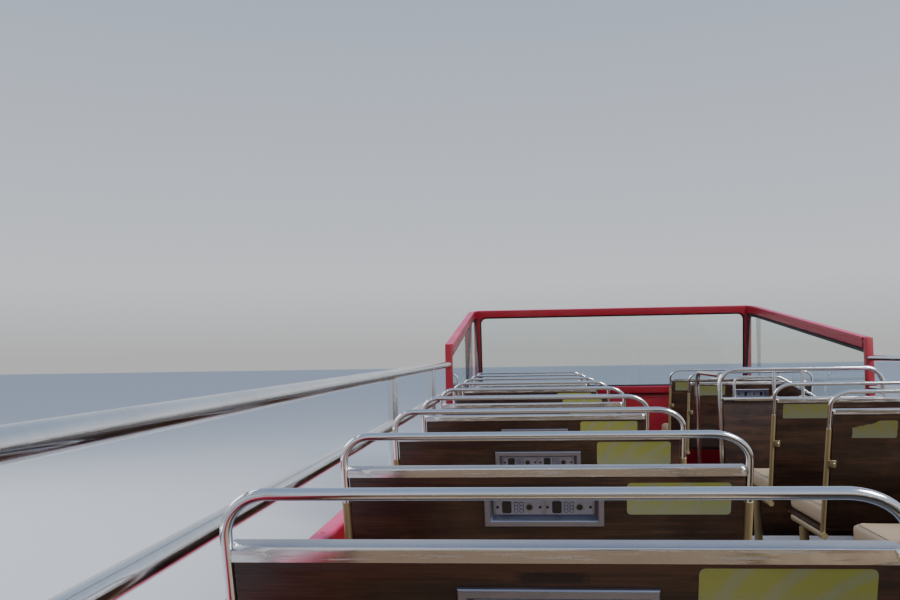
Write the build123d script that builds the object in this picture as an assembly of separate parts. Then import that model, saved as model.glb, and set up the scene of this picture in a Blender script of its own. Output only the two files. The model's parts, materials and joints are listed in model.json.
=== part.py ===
from build123d import *
import math
import os

# Open upper deck of a sightseeing double decker bus, from the floor bearers up.
# Millimetres, +Y towards the windscreen, +X to the offside, +Z up.
# The origin is under the middle of the deck, level with the feet of the floor bearers.

# Body shell
DECK_LENGTH = 9100.0
DECK_WIDTH = 2550.0
WALL = 50.0
CORNER_RADIUS = 170.0
WALL_TAPER = 1.0
CAP_HEIGHT = 45.0
CAP_OVERHANG = 6.0
CAP_CHAMFER = 14.0
WALL_TOP = 740.0

# Floor
BEARER_HEIGHT = 60.0
BEARER_WIDTH = 50.0
BEARER_COUNT = 13
FLOOR_THICKNESS = 24.0
FLOOR_TOP = BEARER_HEIGHT + FLOOR_THICKNESS

# Twin seats, heights above the floor
SEAT_WIDTH = 852.0
SEAT_PITCH = 715.0
NEARSIDE_WALL_GAP = 45.0
OFFSIDE_WALL_GAP = 20.0
BACK_RAKE = 16.0
BACK_TOP = 857.0
BACK_BOTTOM = 390.0
BACK_PLY = 12.0
BACK_PAD = 40.0
BACK_PAD_BOTTOM = 475.0
BACK_PAD_CORNER = 12.0
CAPPING_HEIGHT = 20.0
CAPPING_DEPTH = 52.0
CAPPING_CORNER = 46.0
CAPPING_AISLE_CORNER = 12.0
HOOP_TUBE = 16.0
HOOP_RISE = 64.0
HOOP_DROP = 70.0
HOOP_SETBACK = 12.0
HOOP_BEND = 58.0
UPRIGHT_TUBE = 20.0
BACK_GAP = 8.0
LUG_HEIGHT = 30.0
LUG_DEPTH = 8.0
LUG_FROM_BOTTOM = 250.0
BASE_TUBE = 26.0
BASE_TOP = 370.0
BASE_CORNER = 70.0
PAN = 9.0
CUSHION_HEIGHT = 88.0
CUSHION_DEPTH = 430.0
CUSHION_CORNER = 25.0
CUSHION_FRONT_ROUND = 40.0
CUSHION_SIDE_GAP = 5.0
CUSHION_LIP = 20.0
LEG_TUBE = 38.0
FOOT_LENGTH = 300.0
FOOT_WIDTH = 70.0
FOOT_PLATE = 8.0
LEG_Y = 380.0
BRACKET_ROWS = (230.0, 480.0)
BRACKET_WIDTH = 50.0
CLEAR = 0.3

# How finely round forms are faceted: sides of a tube, steps round a bend or a corner
SMALL_TUBE_SIDES = 8
RAIL_SIDES = 12
BEND_STEPS = 3
CORNER_STEPS = 6

# Rows, by the rear face of the back at its top: the first ones from the rear wall,
# the room kept at the front wall and the stairwell, and the front seats from the stairwell
NEARSIDE_FIRST_ROW = 740.0
OFFSIDE_FIRST_ROW = 875.0
FRONT_KNEE_ROOM = 1050.0
STAIR_KNEE_ROOM = 720.0
FRONT_SEATS = (160.0, 920.0)

# Audio box in each back
AUDIO_WIDTH = 248.0
AUDIO_HEIGHT = 76.0
AUDIO_DROP = 34.0
AUDIO_BEZEL = 14.0
AUDIO_PROUD = 6.0
PLATE_WIDTH = 96.0
PLATE_HEIGHT = 34.0
PLATE_GAP = 8.0
PLATE = 2.0
AUDIO_WALL = 4.0
AUDIO_FLOOR = 2.0
AUDIO_SLOPE = 8.0

# Side rails
RAIL_TUBE = 42.0
UPPER_RAIL_Z = 1025.0
LOWER_RAIL_Z = 857.0
POST_TUBE = 32.0
POST_ROWS = (2020.0, 4070.0, 5350.0)
REAR_POST_GAP = 1120.0
RAIL_BEND = 150.0
RAIL_LEG = 40.0

# Windscreen and wings, heights above the floor
SCREEN_TOP = 1468.0
SCREEN_SETBACK = 130.0
SCREEN_SIDE_INSET = 35.0
SCREEN_BAR = 62.0
SCREEN_DEPTH = 50.0
SCREEN_INNER_RADIUS = 60.0
SCREEN_OUTER_RADIUS = 30.0
SCREEN_RAKE = 8.0
GASKET = 14.0
GASKET_DEPTH = 20.0
GLASS = 8.0
WING_LENGTH = 2520.0
WING_REAR_TOP = 1144.0
WING_BEAM = 50.0
WING_BEAM_HEIGHT = 68.0
WING_POST = 44.0
WING_TURN = 110.0
WING_TURN_RADIUS = 80.0
WING_GASKET = 12.0
GROOVE_DEPTH = 4.0
GROOVE_HEIGHT = 9.0
GROOVE_FROM_TOP = 24.0

# Stairwell and its guard
STAIR_WIDTH = 845.0
STAIR_WALL_GAP = 40.0
STAIR_FROM_FRONT = 1960.0
STAIR_LENGTH = 1000.0
GUARD_TUBE = 26.0
GUARD_TOP = 973.0
GUARD_PANEL = 18.0
GUARD_PANEL_TOP = 800.0
GUARD_CAP_HEIGHT = 18.0
GUARD_CAP_DEPTH = 60.0
GUARD_POST = 20.0
GUARD_POST_ROW = (295.0, 450.0)
GUARD_FLANGE = 44.0
GUARD_FLANGE_HEIGHT = 5.0
GUARD_LOOP_TUBE = 16.0
GUARD_LOOP_TOP = 930.0
GUARD_LOOP_SETBACK = 21.0
GUARD_LOOP_BEND = 40.0
GUARD_LOOP_ROW = (85.0, 330.0, 540.0)
GUARD_SIDE_LENGTH = 620.0
GUARD_SETBACK = 40.0
GUARD_WALL_GAP = 45.0
GUARD_BEND = 90.0
GUARD_DROP = 30.0
GUARD_PANEL_BASE = 60.0

# Rear bench
BENCH_END_GAP = 80.0
BENCH_REAR_GAP = 30.0
BENCH_SUPPORT = 30.0
BENCH_SUPPORT_COUNT = 4
BENCH_TOE = 60.0

os.makedirs("parts", exist_ok=True)


HALF_LENGTH = DECK_LENGTH / 2
HALF_WIDTH = DECK_WIDTH / 2
INNER_X = HALF_WIDTH - WALL
INNER_Y = HALF_LENGTH - WALL
SCREEN_Y = INNER_Y - SCREEN_SETBACK
SCREEN_HALF_WIDTH = HALF_WIDTH - SCREEN_SIDE_INSET
WING_REAR_Y = SCREEN_Y - WING_LENGTH
WING_TURN_Y = SCREEN_Y - WING_TURN
STAIR_OUTER_X = INNER_X - STAIR_WALL_GAP
STAIR_INNER_X = STAIR_OUTER_X - STAIR_WIDTH
STAIR_FRONT_Y = INNER_Y - STAIR_FROM_FRONT
STAIR_REAR_Y = STAIR_FRONT_Y - STAIR_LENGTH
GUARD_WALL_X = INNER_X - GUARD_WALL_GAP


def block(low, high):
    size = [high[i] - low[i] for i in range(3)]
    centre = [(high[i] + low[i]) / 2 for i in range(3)]
    return Pos(*centre) * Box(*size)


def rounded(width, length, radius, steps):
    """A rectangle whose round corners go in equal straight steps, each end of a step on the arc."""
    outline = []
    for quarter, (side_x, side_y) in enumerate([(1, 1), (-1, 1), (-1, -1), (1, -1)]):
        centre = (side_x * (width / 2 - radius), side_y * (length / 2 - radius))
        for step in range(steps + 1):
            angle = math.radians(90 * (quarter + step / steps))
            outline.append((centre[0] + radius * math.cos(angle), centre[1] + radius * math.sin(angle)))
    return make_face(Polyline(*outline, close=True))


def stepped(points, bend):
    """A route whose bends go round in equal straight steps, each end of a step on the arc."""
    steps = []
    for edge in FilletPolyline(*points, radius=bend).edges():
        count = BEND_STEPS if edge.geom_type == GeomType.CIRCLE else 1
        steps += [edge @ (i / count) for i in range(count)]
    return Polyline(*steps, points[-1])


def tube(points, diameter, bend, sides):
    """A tube of flat sides along straight runs joined by bends."""
    path = stepped(points, bend) if bend else Polyline(*points)
    start = Plane(origin=path @ 0, z_dir=path % 0)
    section = RegularPolygon(diameter / 2, sides, major_radius=False, rotation=180 / sides)
    return sweep(start * section, path=path, transition=Transition.RIGHT)


def upright_tube(place, diameter, sides, height):
    """A straight tube of flat sides standing on a place."""
    section = RegularPolygon(diameter / 2, sides, major_radius=False, rotation=180 / sides)
    return Pos(*place) * extrude(section, height)


def bar(points, width, height, bend):
    """A rectangular bar along a level route."""
    path = stepped(points, bend)
    start = Plane(origin=path @ 0, x_dir=(0, 0, 1), z_dir=path % 0)
    return sweep(start * Rectangle(height, width), path=path, transition=Transition.RIGHT)


def side_shape(corners, thickness):
    """A plate in the side view, centred on X = 0."""
    return Pos(-thickness / 2) * extrude(Plane.YZ * make_face(Polyline(*corners, close=True)), thickness)


def save(name, solids):
    shape = Compound(children=solids) if isinstance(solids, list) else solids
    export_step(shape, f"parts/{name}.step")


# Twin seat, built with the rear top edge of its back at y = 0 and the floor at z = 0.
# The wall is on its -X side, and seats of the offside column are mirrored.
SIDE_X = (SEAT_WIDTH - UPRIGHT_TUBE) / 2
BASE_CENTRE_Z = BASE_TOP - BASE_TUBE / 2
CAPPING_X = SIDE_X - HOOP_TUBE / 2 - CLEAR
BACK_X = SIDE_X - UPRIGHT_TUBE / 2 - BACK_GAP
CAPPING_BASE = BACK_TOP - CAPPING_HEIGHT
PAN_TOP = BASE_TOP + PAN
CUSHION_TOP = PAN_TOP + CUSHION_HEIGHT
CUSHION_X = SEAT_WIDTH / 2 - CUSHION_SIDE_GAP
RAKED = Pos(0, 0, BACK_TOP) * Rot(X=BACK_RAKE)
BELOW_CAPPING = Plane.XY.offset(CAPPING_BASE)
LONG = 2 * BACK_TOP
SLOPE = math.tan(math.radians(BACK_RAKE))
STEEP = math.cos(math.radians(BACK_RAKE))


def raked_slab(half_width, rear, thickness, bottom, corner=0.0):
    """A board along the raked back, cut level under the capping and at its foot."""
    board = block((-half_width, rear, -LONG), (half_width, rear + thickness, LONG / 4))
    if corner:
        board = chamfer(board.edges().filter_by(Axis.Z).group_by(Axis.Y)[-1], corner)
    board = split(RAKED * board, bisect_by=BELOW_CAPPING, keep=Keep.BOTTOM)
    return split(board, bisect_by=Plane.XY.offset(bottom), keep=Keep.TOP)


def back_y(height, depth=0.0):
    """How far forward the raked back is at a height, depth behind its rear face."""
    return (BACK_TOP - height) * SLOPE + depth / STEEP


PLY_REAR = 2.0
PAD_REAR = PLY_REAR + BACK_PLY
CUSHION_REAR = back_y(CUSHION_TOP, PAD_REAR + BACK_PAD) + CLEAR
CUSHION_FRONT = CUSHION_REAR + CUSHION_DEPTH
BASE_FRONT = CUSHION_FRONT - BASE_TUBE
BASE_REAR = back_y(BASE_TOP, HOOP_SETBACK) - UPRIGHT_TUBE
AUDIO_TOP = -CAPPING_HEIGHT / STEEP - AUDIO_DROP
AUDIO_Z = AUDIO_TOP - AUDIO_HEIGHT / 2


def seat_hoop():
    low, high = -HOOP_DROP, HOOP_RISE
    points = [(-SIDE_X, low), (-SIDE_X, high), (SIDE_X, high), (SIDE_X, low)]
    route = [(x, HOOP_SETBACK, z) for x, z in points]
    return RAKED * tube(route, HOOP_TUBE, HOOP_BEND, SMALL_TUBE_SIDES)


def seat_uprights():
    uprights = []
    for side in (-1, 1):
        foot = (side * SIDE_X, HOOP_SETBACK, -LONG)
        upright = upright_tube(foot, UPRIGHT_TUBE, SMALL_TUBE_SIDES, LONG - HOOP_DROP)
        lug_z = -(BACK_TOP - BACK_BOTTOM) / STEEP + LUG_FROM_BOTTOM
        lug_x = sorted((side * SIDE_X, side * BACK_X))
        lug_y = (PLY_REAR, PLY_REAR + LUG_DEPTH)
        upright += block((lug_x[0], lug_y[0], lug_z), (lug_x[1], lug_y[1], lug_z + LUG_HEIGHT))
        uprights.append(split(RAKED * upright, bisect_by=Plane.XY.offset(BASE_TOP), keep=Keep.TOP))
    return uprights


def seat_base():
    route = [(-SIDE_X, BASE_REAR), (-SIDE_X, BASE_FRONT), (SIDE_X, BASE_FRONT), (SIDE_X, BASE_REAR)]
    return bar([(x, y, BASE_CENTRE_Z) for x, y in route], BASE_TUBE, BASE_TUBE, BASE_CORNER)


def seat_capping():
    """A level cap on the back, its wall side rear corner rounded and its aisle side one cut."""
    round_x, round_y = CAPPING_CORNER - CAPPING_X, CAPPING_CORNER
    outline = [(CAPPING_X, CAPPING_DEPTH), (-CAPPING_X, CAPPING_DEPTH), (-CAPPING_X, round_y)]
    for step in range(1, BEND_STEPS + 1):
        angle = math.radians(180 + 90 * step / BEND_STEPS)
        outline.append((round_x + CAPPING_CORNER * math.cos(angle), round_y + CAPPING_CORNER * math.sin(angle)))
    outline += [(CAPPING_X - CAPPING_AISLE_CORNER, 0), (CAPPING_X, CAPPING_AISLE_CORNER)]
    plan = make_face(Polyline(*outline, close=True))
    return Pos(0, 0, CAPPING_BASE) * extrude(plan, CAPPING_HEIGHT)


def seat_ply():
    window = (AUDIO_WIDTH / 2 - AUDIO_BEZEL, AUDIO_HEIGHT / 2 - AUDIO_BEZEL)
    hole = block((-window[0], 0, AUDIO_Z - window[1]), (window[0], PAD_REAR, AUDIO_Z + window[1]))
    return raked_slab(BACK_X, PLY_REAR, BACK_PLY, BACK_BOTTOM) - RAKED * hole


def seat_pad():
    return raked_slab(BACK_X, PAD_REAR, BACK_PAD, BACK_PAD_BOTTOM, BACK_PAD_CORNER)


def audio_bezel():
    """A tray through the back board, its flange proud of the rear face and its sides sloped."""
    flange = block((-AUDIO_WIDTH / 2, PLY_REAR - AUDIO_PROUD, AUDIO_Z - AUDIO_HEIGHT / 2),
                   (AUDIO_WIDTH / 2, PLY_REAR, AUDIO_Z + AUDIO_HEIGHT / 2))
    window = (AUDIO_WIDTH / 2 - AUDIO_BEZEL, AUDIO_HEIGHT / 2 - AUDIO_BEZEL)
    tray = block((-window[0], PLY_REAR, AUDIO_Z - window[1]), (window[0], PAD_REAR, AUDIO_Z + window[1]))
    mouth = Plane(origin=(0, PLY_REAR - AUDIO_PROUD, AUDIO_Z), x_dir=(1, 0, 0), z_dir=(0, 1, 0))
    pocket = extrude(mouth * Rectangle(2 * window[0] - AUDIO_WALL, 2 * window[1] - AUDIO_WALL),
                     AUDIO_PROUD + BACK_PLY - AUDIO_FLOOR, taper=AUDIO_SLOPE)
    return RAKED * (flange + tray - pocket)


def audio_plates():
    floor_y = PAD_REAR - AUDIO_FLOOR
    plates = []
    for side in (-1, 1):
        x = side * (PLATE_WIDTH + PLATE_GAP) / 2
        plates.append(RAKED * block((x - PLATE_WIDTH / 2, floor_y - PLATE, AUDIO_Z - PLATE_HEIGHT / 2),
                                    (x + PLATE_WIDTH / 2, floor_y, AUDIO_Z + PLATE_HEIGHT / 2)))
    return plates


def seat_pan():
    return block((-CUSHION_X, CUSHION_REAR, BASE_TOP), (CUSHION_X, CUSHION_FRONT - CUSHION_LIP, PAN_TOP))


def cushion(half_width):
    """A pad on its pan, its corners cut in plan and its front edge rolled over in steps."""
    plan = chamfer(Rectangle(2 * half_width, CUSHION_DEPTH).vertices(), CUSHION_CORNER)
    reach = CUSHION_DEPTH / 2
    profile = [(-reach, CUSHION_HEIGHT), (-reach, 0), (reach, 0)]
    for step in range(BEND_STEPS + 1):
        angle = math.radians(90 * step / BEND_STEPS)
        profile.append((reach + CUSHION_FRONT_ROUND * (math.cos(angle) - 1),
                        CUSHION_HEIGHT + CUSHION_FRONT_ROUND * (math.sin(angle) - 1)))
    pad = extrude(plan, CUSHION_HEIGHT) & side_shape(profile, 2 * half_width)
    return Pos(0, (CUSHION_REAR + CUSHION_FRONT) / 2, PAN_TOP) * pad


def aisle_leg():
    """A tube under the aisle side of the base."""
    height = BASE_TOP - BASE_TUBE - FOOT_PLATE
    return upright_tube((SIDE_X, LEG_Y, FOOT_PLATE), LEG_TUBE, SMALL_TUBE_SIDES, height)


def foot_plate():
    """A long plate on the floor under the leg."""
    return block((SIDE_X - FOOT_WIDTH / 2, LEG_Y - FOOT_LENGTH / 2, 0),
                 (SIDE_X + FOOT_WIDTH / 2, LEG_Y + FOOT_LENGTH / 2, FOOT_PLATE))


def wall_brackets(gap):
    """Blocks that carry the wall side of the base."""
    wall_x = -SEAT_WIDTH / 2 - gap
    tube_x = -SIDE_X - BASE_TUBE / 2
    low = BASE_CENTRE_Z - BASE_TUBE / 2
    return [block((wall_x, y, low), (tube_x, y + BRACKET_WIDTH, BASE_TOP)) for y in BRACKET_ROWS]


def row_ys(first, last):
    """The rows that fit between two places."""
    return [first + row * SEAT_PITCH for row in range(int((last - first) / SEAT_PITCH) + 1)]


NEARSIDE_YS = row_ys(NEARSIDE_FIRST_ROW - INNER_Y, INNER_Y - FRONT_KNEE_ROOM)
OFFSIDE_YS = row_ys(OFFSIDE_FIRST_ROW - INNER_Y, STAIR_REAR_Y - STAIR_KNEE_ROOM)
OFFSIDE_YS += [STAIR_FRONT_Y + gap for gap in FRONT_SEATS]
# Each column of seats: side, gap to its wall, and the rear Y of each row
COLUMNS = [(-1, NEARSIDE_WALL_GAP, NEARSIDE_YS), (1, OFFSIDE_WALL_GAP, OFFSIDE_YS)]


def in_column(pieces, side, gap, rows):
    """Copies of a seat's pieces in every row of one column, mirrored on the offside."""
    x = side * (INNER_X - gap - SEAT_WIDTH / 2)
    turned = [piece if side < 0 else mirror(piece, about=Plane.YZ) for piece in pieces]
    return [Pos(x, y, FLOOR_TOP) * piece for piece in turned for y in rows]


def in_every_seat(pieces):
    """Copies of a seat's pieces in both columns."""
    return [copy for column in COLUMNS for copy in in_column(pieces, *column)]


save("seat_hoops", in_every_seat([seat_hoop()]))
save("seat_uprights", in_every_seat(seat_uprights()))
save("seat_base_frames", in_every_seat([seat_base()]))
save("seat_back_cappings", in_every_seat([seat_capping()]))
save("seat_back_boards", in_every_seat([seat_ply()]))
save("seat_back_pads", in_every_seat([seat_pad()]))
save("seat_audio_trays", in_every_seat([audio_bezel()]))
save("seat_audio_plates", in_every_seat(audio_plates()))
save("seat_pans", in_every_seat([seat_pan()]))
save("seat_cushions", in_every_seat([cushion(CUSHION_X)]))
save("seat_aisle_legs", in_every_seat([aisle_leg()]))
save("seat_foot_plates", in_every_seat([foot_plate()]))
brackets = []
for side, gap, rows in COLUMNS:
    brackets += in_column(wall_brackets(gap), side, gap, rows)
save("seat_wall_brackets", brackets)

# Floor and what carries it
floor_plan = rounded(2 * INNER_X, 2 * INNER_Y, CORNER_RADIUS - WALL, CORNER_STEPS)
floor = Pos(0, 0, BEARER_HEIGHT) * extrude(floor_plan, FLOOR_THICKNESS)
floor -= block((STAIR_INNER_X, STAIR_REAR_Y, 0), (STAIR_OUTER_X, STAIR_FRONT_Y, FLOOR_TOP))
# The floor's sheets: name, low Y, high Y
SHEETS = [
    ("deck_floor_rear", -INNER_Y, STAIR_REAR_Y),
    ("deck_floor_middle", STAIR_REAR_Y, STAIR_FRONT_Y),
    ("deck_floor_front", STAIR_FRONT_Y, INNER_Y),
]
for name, low_y, high_y in SHEETS:
    save(name, floor & block((-INNER_X, low_y, 0), (INNER_X, high_y, FLOOR_TOP)))

end_bearer_y = HALF_LENGTH - CORNER_RADIUS - BEARER_WIDTH / 2
bearer_ys = [end_bearer_y * (2 * i / (BEARER_COUNT - 1) - 1) for i in range(BEARER_COUNT)]
bearers = []
for y in bearer_ys:
    bearer = block((-INNER_X, y - BEARER_WIDTH / 2, 0), (INNER_X, y + BEARER_WIDTH / 2, BEARER_HEIGHT))
    if STAIR_REAR_Y < y < STAIR_FRONT_Y:
        bearer = block((-INNER_X, y - BEARER_WIDTH / 2, 0),
                       (STAIR_INNER_X, y + BEARER_WIDTH / 2, BEARER_HEIGHT))
    bearers.append(bearer)
save("floor_bearers", bearers)

# Body shell: a tapered ring in plan, parted at the corners
outer = extrude(rounded(DECK_WIDTH, DECK_LENGTH, CORNER_RADIUS, CORNER_STEPS), WALL_TOP, taper=WALL_TAPER)
ring = outer - extrude(floor_plan, WALL_TOP)
cap_inset = WALL_TOP * math.tan(math.radians(WALL_TAPER)) - CAP_OVERHANG
cap_outer = rounded(DECK_WIDTH - 2 * cap_inset, DECK_LENGTH - 2 * cap_inset, CORNER_RADIUS - cap_inset,
                    CORNER_STEPS)
cap_inner = rounded(2 * (INNER_X - CAP_OVERHANG), 2 * (INNER_Y - CAP_OVERHANG),
                    CORNER_RADIUS - WALL - CAP_OVERHANG, CORNER_STEPS)
CAP_TOP = WALL_TOP + CAP_HEIGHT
cap = Pos(0, 0, WALL_TOP) * extrude(cap_outer - cap_inner, CAP_HEIGHT)
cap = chamfer(cap.edges().filter_by(Plane.XY).group_by(Axis.Z)[-1], CAP_CHAMFER)
SPLIT_Y = HALF_LENGTH - CORNER_RADIUS
# Each section of the shell: name, low X, high X, low Y, high Y
SECTIONS = [
    ("left", -HALF_WIDTH, 0, -SPLIT_Y, SPLIT_Y),
    ("right", 0, HALF_WIDTH, -SPLIT_Y, SPLIT_Y),
    ("front", -HALF_WIDTH, HALF_WIDTH, SPLIT_Y, HALF_LENGTH),
    ("rear", -HALF_WIDTH, HALF_WIDTH, -HALF_LENGTH, -SPLIT_Y),
]
cappings = []
for name, x0, x1, y0, y1 in SECTIONS:
    cell = block((x0, y0, 0), (x1, y1, CAP_TOP))
    save("body_panel_" + name, ring & cell)
    cappings.append(cap & cell)
save("body_capping_sides", cappings[:2])
save("body_capping_ends", cappings[2:])

# Side and rear rails on their posts
RAIL_X = INNER_X + (WALL - cap_inset) / 2
RAIL_Y = INNER_Y + (WALL - cap_inset) / 2
RAIL_END = WING_REAR_Y - WING_POST / 2
rails = {}
for level, height in (("upper", UPPER_RAIL_Z), ("lower", LOWER_RAIL_Z)):
    z = FLOOR_TOP + height
    start_y = RAIL_BEND + RAIL_LEG - RAIL_Y
    for side, sign in (("left", -1), ("right", 1)):
        run = [(sign * RAIL_X, start_y, z), (sign * RAIL_X, RAIL_END, z)]
        rails[f"{level}_rail_{side}"] = tube(run, RAIL_TUBE, 0, RAIL_SIDES)
    route = [(-RAIL_X, start_y), (-RAIL_X, -RAIL_Y), (RAIL_X, -RAIL_Y), (RAIL_X, start_y)]
    rails[f"{level}_rail_rear"] = tube([(x, y, z) for x, y in route], RAIL_TUBE, RAIL_BEND, RAIL_SIDES)
for level in ("upper", "lower"):
    save(level + "_rail_sides", [rails[level + "_rail_left"], rails[level + "_rail_right"]])
    save(level + "_rail_rear", rails[level + "_rail_rear"])

post_places = [(sign * RAIL_X, y - INNER_Y) for sign in (-1, 1) for y in POST_ROWS]
post_places += [(sign * REAR_POST_GAP / 2, -RAIL_Y) for sign in (-1, 1)]
lower_rail_z = FLOOR_TOP + LOWER_RAIL_Z
upper_rail_z = FLOOR_TOP + UPPER_RAIL_Z
post_heights = [(CAP_TOP, lower_rail_z - RAIL_TUBE / 2),
                (lower_rail_z + RAIL_TUBE / 2, upper_rail_z - RAIL_TUBE / 2)]
posts = []
for x, y in post_places:
    posts += [upright_tube((x, y, low), POST_TUBE, SMALL_TUBE_SIDES, high - low) for low, high in post_heights]
save("rail_posts", posts)

# Windscreen: a raked frame on the front capping, with a gasket and its glass
RAKED_SCREEN = Pos(0, SCREEN_Y, FLOOR_TOP + SCREEN_TOP) * Rot(X=SCREEN_RAKE)
SCREEN_HEIGHT = (FLOOR_TOP + SCREEN_TOP - CAP_TOP) / math.cos(math.radians(SCREEN_RAKE))

def screen_outline(margin, radius):
    """The windscreen's outline in its own plane, inset from the frame's outside."""
    width = 2 * (SCREEN_HALF_WIDTH - margin)
    height = SCREEN_HEIGHT - 2 * margin
    return Plane.XZ * Pos(0, -SCREEN_HEIGHT / 2) * rounded(width, height, radius, BEND_STEPS + 1)


def screen_piece(outline, depth):
    """A piece of the windscreen, centred in the depth of its frame."""
    return RAKED_SCREEN * Pos(0, depth / 2, 0) * extrude(outline, depth)


frame_outline = screen_outline(0, SCREEN_OUTER_RADIUS) - screen_outline(SCREEN_BAR, SCREEN_INNER_RADIUS)
gasket_inset = SCREEN_BAR + GASKET
gasket_radius = SCREEN_INNER_RADIUS - GASKET
gasket_outline = screen_outline(SCREEN_BAR, SCREEN_INNER_RADIUS) - screen_outline(gasket_inset, gasket_radius)
screen_frame = screen_piece(frame_outline, SCREEN_DEPTH)
screen_frame = split(screen_frame, bisect_by=Plane.XY.offset(CAP_TOP), keep=Keep.TOP)
save("windscreen_frame", screen_frame)
save("windscreen_gasket", screen_piece(gasket_outline, GASKET_DEPTH))
save("windscreen_glass", screen_piece(screen_outline(gasket_inset, gasket_radius), GLASS))

# Side wings: a falling beam from the windscreen's corner to a rear post, glazed below
BEAM_FRONT_Z = FLOOR_TOP + SCREEN_TOP - WING_BEAM_HEIGHT / 2
BEAM_REAR_Z = FLOOR_TOP + WING_REAR_TOP - WING_BEAM_HEIGHT / 2
WING_FALL = (BEAM_FRONT_Z - BEAM_REAR_Z) / (SCREEN_Y - WING_REAR_Y)
POST_FRONT_Y = WING_REAR_Y + WING_POST / 2


def fall_z(y, drop=0.0):
    """Height of the beam's middle at a place along the deck, less a drop."""
    return BEAM_REAR_Z + WING_FALL * (y - WING_REAR_Y) - drop


def fall_band(low, high):
    """The side view of a band that falls with the beam, between two heights from its middle."""
    ends = (WING_REAR_Y, SCREEN_Y)
    corners = [(y, fall_z(y, -low)) for y in ends] + [(y, fall_z(y, -high)) for y in reversed(ends)]
    return side_shape(corners, DECK_WIDTH)


def screen_back_y(z, gap):
    """How far forward the rear of the raked windscreen frame is at a height, less a gap."""
    rake = math.radians(SCREEN_RAKE)
    return SCREEN_Y + (FLOOR_TOP + SCREEN_TOP - z) * math.tan(rake) - SCREEN_DEPTH / 2 / math.cos(rake) - gap


wings = {"wing_beams": [], "wing_posts": [], "wing_gaskets": [], "wing_glasses": []}
half_beam = WING_BEAM_HEIGHT / 2
groove_top = half_beam - GROOVE_FROM_TOP
under_beam = [(y, fall_z(y, half_beam)) for y in (POST_FRONT_Y, screen_back_y(BEAM_FRONT_Z, CLEAR))]
light_corners = [(POST_FRONT_Y, CAP_TOP), (screen_back_y(CAP_TOP, CLEAR), CAP_TOP), under_beam[1], under_beam[0]]
side_light = make_face(Polyline(*light_corners, close=True))
side_glass = offset(side_light, -WING_GASKET, kind=Kind.INTERSECTION)
for sign in (-1, 1):
    screen_x = SCREEN_HALF_WIDTH - SCREEN_BAR / 2
    lean = (RAIL_X - screen_x) / WING_TURN
    reach = INNER_Y - SCREEN_Y
    plan = [(screen_x - reach * lean, INNER_Y), (RAIL_X, WING_TURN_Y), (RAIL_X, POST_FRONT_Y)]
    route = [(sign * x, y, BEAM_REAR_Z) for x, y in plan]
    bands = {width: bar(route, width, LONG, WING_TURN_RADIUS)
             for width in (WING_BEAM, WING_BEAM - 2 * GROOVE_DEPTH, GASKET_DEPTH, GLASS)}
    groove = fall_band(groove_top - GROOVE_HEIGHT, groove_top) - bands[WING_BEAM - 2 * GROOVE_DEPTH]
    beam = (bands[WING_BEAM] & fall_band(-half_beam, half_beam)) - groove - screen_frame
    wings["wing_beams"].append(beam.solids().sort_by(SortBy.VOLUME)[-1])
    post = block((sign * RAIL_X - WING_POST / 2, WING_REAR_Y - WING_POST / 2, CAP_TOP),
                 (sign * RAIL_X + WING_POST / 2, POST_FRONT_Y, FLOOR_TOP + WING_REAR_TOP))
    wings["wing_posts"].append(post)
    across = Pos(-DECK_WIDTH / 2)
    glazing = [("wing_gaskets", GASKET_DEPTH, side_light - side_glass), ("wing_glasses", GLASS, side_glass)]
    for name, width, outline in glazing:
        wings[name].append(bands[width] & across * extrude(Plane.YZ * outline, DECK_WIDTH))
for name, solids in wings.items():
    save(name, solids)

# Stair guard: a board behind the stairwell under a bent rail, and a rail along its aisle side
guard_y = STAIR_REAR_Y - GUARD_SETBACK
guard_x = STAIR_INNER_X - GUARD_SETBACK
top_z = FLOOR_TOP + GUARD_TOP
rear_route = [(guard_x, guard_y, FLOOR_TOP), (guard_x, guard_y, top_z),
              (GUARD_WALL_X, guard_y, top_z), (GUARD_WALL_X, guard_y, FLOOR_TOP)]
rear_rail = tube(rear_route, GUARD_TUBE, GUARD_BEND, SMALL_TUBE_SIDES)
side_end = guard_y + GUARD_SIDE_LENGTH
side_start = guard_y + GUARD_TUBE / 2 + CLEAR
side_route = [(guard_x, side_start, top_z - GUARD_DROP), (guard_x, side_end, top_z - GUARD_DROP),
              (guard_x, side_end, FLOOR_TOP)]
save("stair_guard_rear_rail", rear_rail)
save("stair_guard_side_rail", tube(side_route, GUARD_TUBE, GUARD_BEND, SMALL_TUBE_SIDES))
board_x = (guard_x + GUARD_TUBE / 2 + CLEAR, GUARD_WALL_X - GUARD_TUBE / 2 - CLEAR)
board_base = FLOOR_TOP + GUARD_PANEL_BASE
board_top = FLOOR_TOP + GUARD_PANEL_TOP
guard_cap_top = board_top + GUARD_CAP_HEIGHT
# Board and its cap: name, depth, low Z, high Z
LAYERS = [("board", GUARD_PANEL, board_base, board_top), ("capping", GUARD_CAP_DEPTH, board_top, guard_cap_top)]
for name, depth, low, high in LAYERS:
    corners = [(x, guard_y + side * depth / 2, z) for x, side, z in zip(board_x, (-1, 1), (low, high))]
    save("stair_guard_" + name, block(*corners))

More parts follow.
